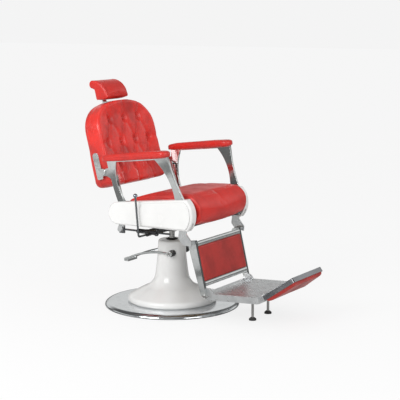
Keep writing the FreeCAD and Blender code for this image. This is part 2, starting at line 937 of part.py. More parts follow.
def make_seat_frame():
    """The welded frame under the seat: two side rails and three cross tubes."""
    rail = side_rail()
    other = reflected(rail, "side_rail_mirror")
    places = (("front", S.cross_front_y), ("middle", -S.mount_rail_y), ("rear", S.mount_rail_y))
    tubes = [cross_tube(name, y) for name, y in places]
    keep(join("seat_frame_solid", [rail, other] + tubes), "seat_frame")


def make_mount_bolts():
    """Four bolts that hold the mount to the cross rails, heads underneath."""
    bolts = []
    top = S.cross_low
    low = top - S.mount_plate_thick
    for number, (across, up) in enumerate(((1, 1), (-1, 1), (-1, -1), (1, -1)), start=1):
        x, y = (S.mount_plate_half - 16) * across, S.mount_rail_y * up
        shank = rod(f"mount_shank_{number}", S.bolt_radius, S.mount_plate_thick, x, y, low)
        head = doc.addObject("Part::Prism", f"mount_head_{number}")
        head.Polygon = 6
        bind(head, "Circumradius", S.bolt_radius * 1.9)
        bind(head, "Height", S.bolt_radius * 1.4)
        place(head, x, y, low - S.bolt_radius * 1.4)
        bolts.append(join(f"mount_bolt_{number}", [shank, head]))
    keep(group("mount_bolt_set", bolts), "mount_bolts")


def board_top():
    """The height of the seat board's upper face."""
    return S.cross_low + S.cross_size + S.board_thick


def make_seat_board():
    front = S.cushion_lip_y + S.cushion_lip_thick + 2
    keep(block("board_box", -S.cushion_half, front, board_top() - S.board_thick,
               S.cushion_half * 2, S.cushion_rear - front, S.board_thick), "seat_board")


def make_seat_cushion():
    """The seat cushion: crowned on top, rolled over the front and down to a lip."""
    body = new_body("seat_cushion")
    side = sketch_on(body, "cushion_side", "YZ_Plane")
    board = board_top()
    rear = S.cushion_rear
    rear_top = board + S.cushion_rear_rise
    crown = board + S.cushion_crown_rise
    lip_foot = board - S.cushion_lip_drop
    lip_back = S.cushion_lip_y + S.cushion_lip_thick
    nose = S.cushion_nose
    outline(side, [
        (rear, board),
        (rear, rear_top - 14),
        ("bow", rear - 4, rear_top - 4),
        (rear - 14, rear_top),
        ("bow", rear - 190, crown - 12),
        (nose + 78, crown - 6),
        ("bow", nose + 20, crown - 36),
        (nose, board + S.cushion_crown_rise * 0.32),
        ("bow", nose + 8, board + 2),
        (S.cushion_lip_y, lip_foot),
        (lip_back, lip_foot),
        (lip_back, board),
    ])
    pad(body, "cushion_pad", side, S.cushion_half * 2, both=True)


def panel_path(inset):
    """The side panel's outline, drawn in by a distance all round."""
    tilt_lift = inset / cosine(S.panel_tilt)
    front_y = S.panel_front_high_y
    return [
        (S.panel_front + S.panel_nose_run + inset, S.panel_low + inset),
        (S.panel_rear - S.panel_tail_run, S.panel_low + inset),
        ("bow", S.panel_rear - inset, S.panel_low + S.panel_tail_rise),
        (S.panel_rear_high_y - 4, panel_top(S.panel_rear_high_y - 4) - tilt_lift),
        (front_y + 4, panel_top(front_y + 4) - tilt_lift),
        ("bow", S.panel_front + inset, S.panel_low + S.panel_nose_rise),
    ]


def make_side_panel():
    """The white side panel: a hollow casting, open towards the seat, its front half raised."""
    body = new_body("side_panel_left")
    shape = sketch_on(body, "panel_shape", "YZ_Plane", S.panel_inner)
    outline(shape, panel_path(term(0)))
    pad(body, "panel_pad", shape, S.panel_outer - S.panel_inner)
    round_edges(body, "panel_round", S.panel_corner, edges_near("X", S.panel_outer))
    hollow = sketch_on(body, "panel_hollow", "YZ_Plane", S.panel_inner)
    outline(hollow, panel_path(S.panel_wall))
    pocket(body, "panel_hollow_cut", hollow, S.panel_outer - S.panel_inner - S.panel_wall, reverse=True)
    raised = sketch_on(body, "panel_raised", "YZ_Plane", S.panel_outer - 1)
    step = S.panel_step_y
    bent = step - S.panel_step_bow
    edge = S.panel_corner * 1.2
    high_y = S.panel_front_high_y + edge
    outline(raised, [
        (bent, S.panel_low + edge),
        ("bow", step, S.panel_low + S.panel_nose_rise * 0.88),
        (bent, panel_top(bent) - edge),
        (high_y, panel_top(high_y) - edge),
        ("bow", S.panel_front + edge * 1.4, S.panel_low + S.panel_nose_rise * 1.07),
        (S.panel_front + S.panel_nose_run + edge * 0.7, S.panel_low + edge),
    ])
    pad(body, "panel_raised_pad", raised, S.panel_raise + 1)
    bosses = sketch_on(body, "panel_bosses", "YZ_Plane", S.rail_inner + S.rail_thick)
    for share in (0, 1, 2):
        circle(bosses, S.boss_front_y + S.boss_pitch * share, S.boss_z, S.boss_radius)
    depth = S.panel_outer - S.panel_wall - S.rail_inner - S.rail_thick
    body.AllowCompound = True
    pad(body, "panel_boss_pad", bosses, depth + 1)
    slot = sketch_on(body, "leg_slot", "XY_Plane", S.panel_low - 1)
    rectangle(slot, S.leg_arm_x - S.slot_play, S.panel_front - 1,
              S.leg_arm_x + S.leg_arm_thick + S.slot_play, S.panel_front + S.leg_slot_length)
    pocket(body, "leg_slot_cut", slot, S.leg_slot_depth, reverse=True)
    gap = sketch_on(body, "link_gap", "XY_Plane", S.rail_high)
    link_y = S.crank_y - S.link_reach + link_lean() * (panel_top(S.crank_y) - S.crank_z)
    rectangle(gap, S.link_x - 2, link_y - S.link_width - 4, S.link_x + S.link_thick + 2,
              link_y + S.link_width + 8)
    pocket(body, "link_gap_cut", gap, S.panel_nose_rise, reverse=True)
    feet = sketch_on(body, "foot_screw_holes", "XY_Plane", S.rail_high)
    for y in (S.front_foot_y, S.rear_foot_y):
        circle(feet, arm_x(panel_top(y)) + 1, y, S.foot_screw_radius)
    pocket(body, "foot_screw_cut", feet, S.panel_nose_rise, reverse=True)
    mirrored(body, "side_panel_right")


def link_lean():
    """How far the link between the back and the crank leans for each unit of height."""
    return (S.back_pivot_y - S.crank_y) / (S.back_pivot_z - S.crank_z)


def arm_x(z):
    """The middle of the leaning arm frame at a height."""
    return S.arm_top_x - (S.arm_top_z - z) * tangent(S.arm_lean)


def make_arm_frame():
    """The chrome arm: two swept legs, a rail under the pad and a lug for the back's pivot."""
    body = doc.addObject("PartDesign::Body", "arm_plate")
    side = sketch_on(body, "arm_side", "YZ_Plane")

    def at(y, z):
        return (term(y), (term(z) - S.arm_top_z) / cosine(S.arm_lean))

    def bow(y, z):
        return ("bow",) + at(y, z)

    front = S.front_foot_y
    rear = S.rear_foot_y
    lug_y, lug_z = S.back_pivot_y, S.back_pivot_z
    outline(side, [
        at(-172, S.arm_top_z + 12),
        bow(-196, S.arm_top_z - 82),
        at(front - S.front_leg_width / 2, panel_top(front) - 8),
        at(front + S.front_leg_width / 2, panel_top(front) - 8),
        bow(-161, S.arm_top_z - 92),
        at(-98, S.arm_top_z - 12),
        at(134, S.arm_top_z - 36),
        bow(142, S.arm_top_z - 80),
        at(rear - S.rear_leg_width / 2, panel_top(rear) - 8),
        at(rear + S.rear_leg_width / 2, panel_top(rear) - 8),
        bow(180, S.arm_top_z - 110),
        at(193, S.arm_top_z - 28),
    ])
    pad(body, "arm_pad", side, S.arm_thick, both=True)
    ease_edges(body, "arm_edge", 1.6, edges_near("X", S.arm_thick / 2))
    lug = sketch_on(body, "lug_side", "YZ_Plane")
    outline(lug, [
        at(rear + 40, lug_z - S.lug_height * 1.6),
        bow(lug_y - 20, lug_z - S.lug_height / 2 - 2),
        at(lug_y + 2, lug_z - S.lug_height / 2),
        bow(lug_y + S.lug_height / 2, lug_z),
        at(lug_y - 2, lug_z + S.lug_height / 2),
        bow(lug_y - 16, lug_z + S.lug_height / 2 + 6),
        at(rear + 56, S.arm_top_z - 70),
        at(rear + 40, S.arm_top_z - 80),
    ])
    pad(body, "lug_pad", lug, S.arm_thick, both=True)
    place(body, S.arm_top_x, 0, S.arm_top_z, (0, 1, 0), S.arm_lean)
    reach = 60
    above = block("arm_top_trim", 0, 0, 0, reach * 2, S.arm_pad_length + reach, reach)
    place(above, S.arm_top_x - reach, S.arm_pad_front_y - reach / 2,
          pad_floor(S.arm_pad_front_y - reach / 2), (1, 0, 0), -S.arm_pad_tilt)
    below = block("arm_foot_trim", 0, 0, 0, reach * 2, S.arm_pad_length + reach * 2, reach)
    start = S.panel_front
    place(below, S.arm_top_x - reach * 1.6, start - reach * sine(S.panel_tilt),
          panel_top(start) - reach * cosine(S.panel_tilt), (1, 0, 0), -S.panel_tilt)
    pivot = rod("arm_pivot_bore", S.pivot_radius, reach * 2, S.arm_top_x - reach,
                lug_y, lug_z, "X")
    tools = [above, below, pivot]
    for name, y in (("front", front), ("rear", rear)):
        low = panel_top(y) - 20
        tools.append(rod(f"foot_bore_{name}", S.foot_screw_radius, 40, arm_x(panel_top(y)) + 1, y, low))
    arm = keep(cut("arm_frame_cut", body, join("arm_tools", tools)), "arm_frame_left")
    mirrored(arm, "arm_frame_right")


def pad_floor(y):
    """The height of the underside of the armrest pad."""
    return S.arm_top_z - 15 - (y - 15) * tangent(S.arm_pad_tilt)


def make_arm_pad():
    """The armrest: a long pad, round at the front and narrower behind."""
    body = new_body("armrest_pad_left")
    plan = sketch_on(body, "pad_plan", "XY_Plane")
    wide = S.arm_pad_width / 2
    narrow = S.arm_pad_rear_width / 2
    long = S.arm_pad_length
    outline(plan, [
        (-wide, wide),
        ("bow", 0, 0),
        (wide, wide),
        (narrow, long - narrow),
        ("bow", 0, long),
        (-narrow, long - narrow),
    ])
    pad(body, "pad_pad", plan, S.arm_pad_thick)
    round_edges(body, "pad_top_round", S.arm_pad_thick * 0.42, edges_near("Z", S.arm_pad_thick))
    place(body, S.arm_top_x, S.arm_pad_front_y, pad_floor(S.arm_pad_front_y), (1, 0, 0),
          -S.arm_pad_tilt)
    mirrored(body, "armrest_pad_right")


def make_foot_screws():
    """Screws up through the panel's top into the arm's feet."""
    screws = []
    for side, sign in (("left", 1), ("right", -1)):
        for name, y in (("front", S.front_foot_y), ("rear", S.rear_foot_y)):
            x = (arm_x(panel_top(y)) + 1) * sign
            low = panel_top(y) - S.panel_wall * 2
            shank = rod(f"foot_shank_{side}_{name}", S.foot_screw_radius, 24, x, y, low)
            head = rod(f"foot_head_{side}_{name}", S.foot_screw_radius + 3, 5, x, y, low - 2.5)
            screws.append(join(f"foot_screw_{side}_{name}", [shank, head]))
    keep(group("foot_screw_set", screws), "arm_foot_screws")


def side_bar(side, name, radius, start, stop, y, z):
    """A round bar across the chair, on its left or its right."""
    x = start if side == "left" else -stop
    return rod(f"{name}_{side}", radius, stop - start, x, y, z, "X")


def back_pin(side):
    """The pin in the arm's lug that the back's ear turns on."""
    y, z = S.back_pivot_y, S.back_pivot_z
    ear_in = S.back_half + 0.5 + S.bracket_thick
    inner = arm_x(z) - S.arm_thick / 2 - 2.4
    outer = arm_x(z) + S.arm_thick / 2 + 2.4
    wide = S.pivot_radius + 4
    return join(f"back_pin_{side}", [
        side_bar(side, "back_pin_shank", S.pivot_radius, ear_in - 3, outer + 3, y, z),
        side_bar(side, "back_pin_collar", wide, ear_in + S.ear_thick + S.hard_gap, inner, y, z),
        side_bar(side, "back_pin_head", wide, outer, outer + 5, y, z),
    ])


def leg_pin(side):
    """The pin in the side rail that the leg rest's arm hangs on."""
    y, z = S.leg_pivot_y, S.leg_pivot_z
    rail = S.rail_inner + S.rail_thick
    outer = S.leg_arm_x + S.leg_arm_thick
    return join(f"leg_pin_{side}", [
        side_bar(side, "leg_pin_shank", S.pivot_radius, S.rail_inner, outer + 2, y, z),
        side_bar(side, "leg_pin_collar", S.pivot_radius + 4, rail, S.leg_arm_x - S.hard_gap, y, z),
        side_bar(side, "leg_pin_head", S.pivot_radius + 3, outer + S.hard_gap, outer + 3, y, z),
    ])


def make_pivot_pins():
    """The shouldered pins of the back's hinge and of the leg rest's hinge."""
    pins = [make(side) for make in (back_pin, leg_pin) for side in ("left", "right")]
    keep(group("hinge_pin_set", pins), "hinge_pins")


def make_lock_housing():
    """The lock's housing on the mount's arm, with the boss that the recline lever turns in."""
    x, z = -S.lock_rod_x, S.side_arm_z
    radius = S.lock_housing_radius
    front = S.side_arm_y - S.side_arm_width / 2 - 14
    tube = rod("housing_tube", radius, S.lock_housing_length, x, front, z, "Y")
    ring = rod("housing_ring", radius + 4, 8, x, front - 4, z, "Y")
    boss = rod("housing_boss", S.handle_radius + 5, radius + 18, x - radius - 18,
               S.handle_y, S.handle_z, "X")
    solid = join("housing_solid", [tube, ring, boss])
    bore = rod("housing_bore", S.lock_rod_radius + S.running_gap, S.lock_housing_length * 2, x,
               front - S.lock_housing_length / 2, z, "Y")
    socket = rod("housing_socket", S.handle_radius + S.running_gap, 16 + S.hard_gap,
                 x - radius - 19, S.handle_y, S.handle_z, "X")
    keep(cut("housing_cut", solid, join("housing_bores", [bore, socket])), "lock_housing")
    start = front + S.lock_housing_length
    outside = rod("spring_outside", radius - 3, S.lock_spring_length, x, start, z, "Y")
    inside = rod("spring_inside", S.lock_rod_radius + 1, S.lock_spring_length + 2, x, start - 1, z, "Y")
    keep(cut("spring_cut", outside, inside), "lock_spring")


def make_recline_lever():
    """The hand lever: a bar across to the lock, a bend and an upright with a ball on it."""
    x, y, z = -S.handle_x, S.handle_y, S.handle_z
    radius = S.handle_radius
    inner = -S.lock_rod_x - S.lock_housing_radius - 3
    across = rod("lever_across", radius, inner - x - S.handle_bend, x + S.handle_bend, y, z, "X")
    lean = S.handle_lean
    height = S.handle_top - z - S.handle_bend
    upright = rod("lever_upright", radius, height, x, y, z)
    tilt = f"rotation(vector(1; 0; 0); {(-lean).text})"
    base = f"vector({x.text}; {y.text}; {(z + S.handle_bend).text})"
    upright.setExpression("Placement", f"placement({base}; {tilt})")
    corner = doc.addObject("Part::Torus", "lever_bend")
    bind(corner, "Radius1", S.handle_bend)
    bind(corner, "Radius2", radius)
    corner.Angle3 = 90
    corner.setExpression("Placement", (
        f"placement(vector({(x + S.handle_bend).text}; {y.text}; {(z + S.handle_bend).text});"
        " rotation(vector(1; 0; 0); 90) * rotation(vector(0; 0; 1); 180))"))
    keep(join("lever_solid", [across, corner, upright]), "recline_lever")
    knob = doc.addObject("Part::Sphere", "lever_knob")
    bind(knob, "Radius", S.knob_radius)
    place(knob, x, y + sine(lean) * height, z + S.handle_bend + cosine(lean) * height)
    keep(cut("knob_cut", knob, upright), "recline_knob")


def on_back(piece):
    """Put a piece drawn in the backrest's own frame onto the back's pivot."""
    place(piece, 0, S.back_pivot_y, S.back_pivot_z, (1, 0, 0), -S.back_tilt)


def back_path(inset):
    """The backrest seen from the front: round shoulders, full sides and small feet."""
    side = S.back_half - inset
    foot = S.back_foot_half - inset
    low = S.back_low + inset
    top = S.back_high - inset
    shoulder = S.back_shoulder_half - inset
    crown = S.back_half / 2
    corner = S.back_corner
    waist = side - S.back_side_in
    bend = S.back_shoulder - S.back_side_end
    middle = S.back_shoulder - S.back_side_bow
    brow = top - S.back_top_drop
    return [
        (corner - foot, low),
        (foot - corner, low),
        ("bow", foot - corner * 0.262, low + corner * 0.286),
        (foot, low + corner * 1.048),
        ("bow", side, middle),
        (waist, bend),
        ("bow", shoulder, S.back_shoulder),
        (crown, brow),
        ("bow", 0, top),
        (-crown, brow),
        ("bow", -shoulder, S.back_shoulder),
        (-waist, bend),
        ("bow", -side, middle),
        (-foot, low + corner * 1.048),
        ("bow", corner * 0.262 - foot, low + corner * 0.286),
    ]


def make_back_board():
    body = new_body("back_board")
    face = sketch_on(body, "board_face", "XZ_Plane", -S.board_front)
    outline(face, back_path(term(4)))
    pad(body, "board_pad", face, S.back_board_thick, reverse=True)
    on_back(body)


def button_places():
    """Where the buttons sit on the back's face: rows of three, four and three."""
    wide = S.button_spread
    close = wide / 2
    low, step = S.button_low, S.button_rise
    rows = ((low, (-wide, term(0), wide)),
            (low + step, (-wide - close, -close, close, wide + close)),
            (low + step * 2, (-wide, term(0), wide)))
    return [(across, height) for height, places in rows for across in places]


def make_back_cushion():
    body = new_body("back_cushion")
    face = sketch_on(body, "cushion_face", "XZ_Plane", -S.back_front)
    outline(face, back_path(term(0)))
    pad(body, "cushion_front_pad", face, S.board_front - S.back_front, reverse=True)
    round_edges(body, "cushion_front_round", S.back_edge_round, edges_near("Y", S.back_front))
    seats = sketch_on(body, "button_seats", "XZ_Plane", -S.back_front)
    for across, height in button_places():
        circle(seats, across, height, S.button_radius + S.hard_gap)
    pocket(body, "button_seat_cut", seats, S.button_depth)
    on_back(body)


def make_back_rear():
    """The upholstered shell behind the board, thinner towards the top."""
    body = new_body("back_rear_cover")
    start = S.board_front + S.back_board_thick
    face = sketch_on(body, "rear_face", "XZ_Plane", -start)
    outline(face, back_path(term(1)))
    pad(body, "rear_pad", face, S.back_rear_low - start + 6, reverse=True)
    trim = sketch_on(body, "rear_trim", "YZ_Plane")
    far = S.back_rear_low + 90
    outline(trim, [
        (S.back_rear_low, S.back_low - 10),
        ("bow", S.back_rear_low - 6, S.back_low + 190),
        (S.back_rear_high, S.back_high - 44),
        (start + 3, S.back_high + 8),
        (far, S.back_high + 8),
        (far, S.back_low - 10),
    ])
    pocket(body, "rear_trim_cut", trim, S.back_half * 3, both=True)
    channel = sketch_on(body, "post_channel", "XY_Plane", S.post_low - 30)
    half = S.post_width / 2 + 4 + S.hard_gap
    rectangle(channel, -half, start - 1, half, start + S.post_thick + 7)
    pocket(body, "post_channel_cut", channel, S.back_high, reverse=True)
    on_back(body)


def make_back_buttons():
    """The cloth-covered buttons, each in its seat in the cushion."""
    body = new_body("back_buttons")
    body.AllowCompound = True
    faces = sketch_on(body, "button_faces", "XZ_Plane", -S.back_front - S.button_depth)
    for across, height in button_places():
        circle(faces, across, height, S.button_radius)
    pad(body, "button_pad", faces, S.button_depth + 2)
    round_edges(body, "button_round", 1.6, edges_near("Y", S.back_front - 2))
    on_back(body)


def make_back_bracket():
    """The chrome plate on the back's side, with the ear that the pivot and the link use."""
    body = new_body("back_bracket_left")
    inner = S.back_half + 0.5
    side = sketch_on(body, "bracket_side", "YZ_Plane", inner)
    left = S.bracket_y - S.bracket_width / 2
    right = S.bracket_y + S.bracket_width / 2
    outline(side, [
        (left, S.bracket_low + 6),
        ("bow", left + 2, S.bracket_low + 2),
        (left + 6, S.bracket_low),
        (right - 6, S.bracket_low),
        ("bow", right - 2, S.bracket_low + 2),
        (right, S.bracket_low + 6),
        (right, S.bracket_high - S.bracket_width / 2),
        ("bow", S.bracket_y, S.bracket_high),
        (left, S.bracket_high - S.bracket_width / 2),
    ])
    pad(body, "bracket_pad", side, S.bracket_thick)
    ear = sketch_on(body, "ear_side", "YZ_Plane", inner + S.bracket_thick)
    pin_y = -S.link_reach * cosine(S.back_tilt) + S.link_drop * sine(S.back_tilt)
    pin_z = -S.link_reach * sine(S.back_tilt) - S.link_drop * cosine(S.back_tilt)
    outline(ear, [
        (pin_y, pin_z - 9),
        (0, -S.pivot_radius - 8),
        (right - 4, S.bracket_low + 12),
        (right - 4, 30),
        (0, S.pivot_radius + 8),
        (pin_y, pin_z + 9),
        ("bow", pin_y - 9, pin_z),
    ])
    pad(body, "ear_pad", ear, S.ear_thick)
    stud = sketch_on(body, "stud_side", "YZ_Plane", S.link_x)
    circle(stud, pin_y, pin_z, S.pin_radius)
    pad(body, "stud_pad", stud, inner + S.bracket_thick - S.link_x + 1)
    bore = sketch_on(body, "ear_bore", "YZ_Plane", inner)
    circle(bore, 0, 0, S.pivot_radius + S.running_gap)
    pocket(body, "ear_bore_cut", bore, 40, reverse=True)
    on_back(body)
    mirrored(body, "back_bracket_right")


def make_headrest_socket():
    """The steel sleeve on the board that the headrest's post slides in."""
    body = new_body("headrest_socket")
    start = S.board_front + S.back_board_thick
    plan = sketch_on(body, "socket_plan", "XY_Plane", S.post_low - 20)
    half = S.post_width / 2 + 4
    rectangle(plan, -half, start, half, start + S.post_thick + 6)
    pad(body, "socket_pad", plan, S.back_high - S.post_low)
    hole = sketch_on(body, "socket_bore", "XY_Plane", S.post_low - 20)
    bore = S.post_width / 2 + S.hard_gap
    rectangle(hole, -bore, start + 3 - S.hard_gap, bore, start + 3 + S.post_thick + S.hard_gap)
    pocket(body, "socket_cut", hole, S.back_high, reverse=True)
    on_back(body)


def make_headrest_post():
    """The flat post: straight in the socket, cranked back, then up to the tilt knuckle."""
    body = new_body("headrest_post")
    y = S.board_front + S.back_board_thick + 3
    thick = S.post_thick
    side = sketch_on(body, "post_side", "YZ_Plane")
    knee = S.back_high + 5
    outline(side, [
        (y, S.post_low),
        (y + thick, S.post_low),
        (y + thick, knee - thick),
        (S.tilt_y + thick / 2, knee + 6 - thick),
        (S.tilt_y + thick / 2, S.tilt_z),
        (S.tilt_y - thick / 2, S.tilt_z),
        (S.tilt_y - thick / 2, knee + 6),
        (y, knee),
    ])
    pad(body, "post_pad", side, S.post_width, both=True)
    knuckle = sketch_on(body, "knuckle_side", "YZ_Plane")
    circle(knuckle, S.tilt_y, S.tilt_z, S.pin_radius + 4)
    pad(body, "knuckle_pad", knuckle, S.post_width, both=True)
    bore = sketch_on(body, "knuckle_bore", "YZ_Plane")
    circle(bore, S.tilt_y, S.tilt_z, S.pin_radius + S.running_gap)
    pocket(body, "knuckle_cut", bore, S.post_width * 2, both=True)
    on_back(body)


def make_headrest_bracket():
    """The steel plate on the pillow's rear with two ears and the tilt pin."""
    body = new_body("headrest_bracket")
    rear = S.pillow_rear
    plate = sketch_on(body, "plate_side", "YZ_Plane")
    rectangle(plate, rear, S.tilt_z - 24, rear + 4, S.tilt_z + 26)
    pad(body, "plate_side_pad", plate, S.pillow_half * 1.5, both=True)
    ears = sketch_on(body, "ears_side", "YZ_Plane")
    outline(ears, [
        (rear, S.tilt_z - 16),
        (S.tilt_y, S.tilt_z - 9),
        ("bow", S.tilt_y + 9, S.tilt_z),
        (S.tilt_y, S.tilt_z + 9),
        (rear, S.tilt_z + 20),
    ])
    pad(body, "ears_pad", ears, S.post_width + 12, both=True)
    gap = sketch_on(body, "ears_gap", "YZ_Plane")
    rectangle(gap, rear + 4, S.tilt_z - 40, S.tilt_y + 30, S.tilt_z + 40)
    pocket(body, "ears_gap_cut", gap, S.post_width + S.hard_gap * 2, both=True)
    pin = sketch_on(body, "pin_side", "YZ_Plane")
    circle(pin, S.tilt_y, S.tilt_z, S.pin_radius)
    pad(body, "pin_pad", pin, S.post_width + 16, both=True)
    on_back(body)


def make_headrest_pillow():
    """The headrest: a sloped pad whose top rolls over backwards."""
    body = new_body("headrest_pillow")
    side = sketch_on(body, "pillow_side", "YZ_Plane")
    rear = S.pillow_rear
    low = S.back_high + 16
    outline(side, [
        (rear - 4, low + 2),
        (rear, low + 8),
        (rear, low + 62),
        ("bow", rear + 6, low + 67),
        (rear + 14, low + 68),
        ("bow", rear + 25, low + 96),
        (rear + 4, low + 114),
        ("bow", rear - 40, low + 96),
        (rear - 78, low + 14),
        ("bow", rear - 78, low + 2),
        (rear - 68, low - 2),
    ])
    pad(body, "pillow_pad", side, S.pillow_half * 2, both=True)
    on_back(body)


def flat_link(body, x, thick, width, start, stop):
    """A flat bar with a round eye at each end, in a plane across the chair."""
    for number, end in enumerate((start, stop)):
        eye = sketch_on(body, f"eye_{number}", "YZ_Plane", x)
        circle(eye, end[0], end[1], width / 2 + 2)
        pad(body, f"eye_{number}_pad", eye, thick)
        if number == 0:
            steep = abs((stop[1] - start[1]).value) > abs((stop[0] - start[0]).value)
            aside = (width / 2, term(0)) if steep else (term(0), width / 2)
            bar = sketch_on(body, "bar_side", "YZ_Plane", x)
            outline(bar, [
                (start[0] - aside[0], start[1] - aside[1]),
                (start[0] + aside[0], start[1] + aside[1]),
                (stop[0] + aside[0], stop[1] + aside[1]),
                (stop[0] - aside[0], stop[1] - aside[1]),
            ])
            pad(body, "bar_pad", bar, thick)
    holes = sketch_on(body, "eye_holes", "YZ_Plane", x)
    for end in (start, stop):
        circle(holes, end[0], end[1], S.pin_radius + S.running_gap)
    pocket(body, "eye_hole_cut", holes, thick, reverse=True)


def both_sides(piece, label):
    """A piece and its mirror image as one node."""
    other = reflected(piece, label + "_mirror")
    keep(group(label + "_pair", [piece, other]), label)


def make_links():
    """The upright links from the back's ears, and the push links to the leg rest."""
    upright = doc.addObject("PartDesign::Body", "back_link_body")
    top = (S.back_pivot_y - S.link_reach, S.back_pivot_z - S.link_drop)
    foot = (S.crank_y - S.link_reach, S.crank_z - S.link_drop)
    flat_link(upright, S.link_x, S.link_thick - S.hard_gap, S.link_width, top, foot)
    both_sides(upright, "back_links")
    push = doc.addObject("PartDesign::Body", "push_link_body")
    rear = (S.crank_y - S.push_reach, S.crank_z + S.push_reach)
    front = (S.leg_pivot_y - S.push_reach, S.leg_pivot_z + S.push_reach)
    flat_link(push, S.push_x, S.link_thick, S.link_width, rear, front)
    both_sides(push, "legrest_links")


def make_crank():
    """The recline shaft with a bell crank on each end."""
    plate = doc.addObject("PartDesign::Body", "bell_crank_body")
    x = S.link_x + S.link_thick
    thick = S.ear_thick + 1
    y, z = S.crank_y, S.crank_z
    pull = (y - S.link_reach, z - S.link_drop)
    push = (y - S.push_reach, z + S.push_reach)
    side = sketch_on(plate, "crank_shape", "YZ_Plane", x)
    outline(side, [
        (y, z - 12),
        ("bow", y + 12, z),
        (y, z + 12),
        (push[0] + 7, push[1] + 6),
        ("bow", push[0] - 2, push[1] + 9),
        (push[0] - 9, push[1] - 2),
        (pull[0] - 8, pull[1] + 4),
        ("bow", pull[0] - 8, pull[1] - 4),
        (pull[0], pull[1] - 9),
    ])
    pad(plate, "crank_shape_pad", side, thick)
    inward = sketch_on(plate, "pull_stud", "YZ_Plane", S.link_x)
    circle(inward, pull[0], pull[1], S.pin_radius)
    pad(plate, "pull_stud_pad", inward, S.link_thick + 1)
    outward = sketch_on(plate, "push_stud", "YZ_Plane", x + thick - 1)
    circle(outward, push[0], push[1], S.pin_radius)
    pad(plate, "push_stud_pad", outward, S.push_x + S.link_thick - x - thick + 2)
    other = reflected(plate, "bell_crank_mirror")
    reach = x + thick
    shaft = rod("crank_shaft", S.shaft_radius, reach * 2, -reach, y, z, "X")
    keep(join("crank_solid", [shaft, plate, other]), "recline_crank")


def lock_pin():
    """Where the release arm's pin meets the lock rod's yoke."""
    return S.crank_y + S.release_arm_back, S.crank_z - S.release_arm_length


def make_release_arm():
    """The cast arm under the recline shaft that pushes the lock rod."""
    body = new_body("release_arm")
    start = -S.release_arm_x - 8
    y, z = S.crank_y, S.crank_z
    pin_y, pin_z = lock_pin()
    side = sketch_on(body, "release_side", "YZ_Plane", start)
    outline(side, [
        (y - 13, z),
        (pin_y - 13, pin_z),
        ("bow", pin_y, pin_z - 13),
        (pin_y + 13, pin_z),
        (y + 13, z),
        ("bow", y, z + 13),
    ])
    pad(body, "release_pad", side, 16)
    bore = sketch_on(body, "release_bore", "YZ_Plane", start)
    circle(bore, y, z, S.shaft_radius)
    pocket(body, "release_cut", bore, 16, reverse=True)
    stud = sketch_on(body, "release_stud", "YZ_Plane", start + 15)
    circle(stud, pin_y, pin_z, S.pin_radius)
    pad(body, "release_stud_pad", stud, S.release_arm_x - S.lock_rod_x + 1)


def make_lock_rod():
    """The lock rod, with the slotted yoke at its rear end."""
    body = new_body("lock_rod")
    pin_y, pin_z = lock_pin()
    x = -S.lock_rod_x
    half = S.lock_rod_radius
    yoke = sketch_on(body, "yoke_side", "YZ_Plane", x - half)
    outline(yoke, [
        (pin_y - 17, pin_z - 22),
        (pin_y + 13, pin_z - 22),
        (pin_y + 13, pin_z + 18),
        (pin_y - 17, pin_z + 18),
    ])
    pad(body, "yoke_pad", yoke, half * 2)
    slot = sketch_on(body, "yoke_slot", "YZ_Plane", x - half)
    rectangle(slot, pin_y - 8, pin_z - 14, pin_y + 8, pin_z + 12)
    pocket(body, "yoke_slot_cut", slot, half * 2, reverse=True)
    bar = sketch_on(body, "rod_section", "XZ_Plane", -pin_y + 16)
    circle(bar, x, S.side_arm_z, half)
    pad(body, "rod_pad", bar, pin_y - 16 - S.lock_rod_front)


def on_calf(piece):
    """Put a piece drawn in the leg rest's own frame at the calf frame's top edge."""
    place(piece, 0, S.calf_top_y, S.calf_top_z, (1, 0, 0), -S.calf_lean)


def make_legrest_arm():
    """The cast arm that hangs the leg rest: pivot eye, push-link eye and a foot to the frame."""
    body = new_body("legrest_arm_left")
    y, z = S.leg_pivot_y, S.leg_pivot_z
    link_y, link_z = y - S.push_reach, z + S.push_reach
    side = sketch_on(body, "leg_arm_side", "YZ_Plane", S.leg_arm_x)
    outline(side, [
        (y + 14, z),
        ("bow", y + 8, z + 12),
        (y - 6, z + 16),
        (link_y + 7, link_z + 6),
        ("bow", link_y - 2, link_z + 9),
        (link_y - 9, link_z - 3),
        (y - 24, z - 14),
        (y - 19, z - 34),
        (S.calf_top_y - 4, S.calf_top_z + 6),
        (S.calf_top_y - 2, S.calf_top_z - 18),
        (S.calf_top_y + 46, S.calf_top_z - 14),
        (y + 25, z - 62),
        ("bow", y + 22, z - 30),
    ])
    pad(body, "leg_arm_pad", side, S.leg_arm_thick)
    start = S.calf_half + S.channel_width
    foot = sketch_on(body, "leg_foot_side", "YZ_Plane", start)
    rectangle(foot, S.calf_top_y + 10, S.calf_top_z - 16, S.calf_top_y + 36, S.calf_top_z + 2)
    pad(body, "leg_foot_pad", foot, S.leg_arm_x - start + 1)
    stud = sketch_on(body, "leg_stud_side", "YZ_Plane", S.leg_arm_x + S.leg_arm_thick - 1)
    circle(stud, link_y, link_z, S.pin_radius)
    pad(body, "leg_stud_pad", stud, S.push_x + S.link_thick - S.leg_arm_x - S.leg_arm_thick + 2)
    bore = sketch_on(body, "leg_arm_bore", "YZ_Plane", S.leg_arm_x)
    circle(bore, y, z, S.pivot_radius + S.running_gap)
    pocket(body, "leg_arm_cut", bore, S.leg_arm_thick, reverse=True)
    mirrored(body, "legrest_arm_right")


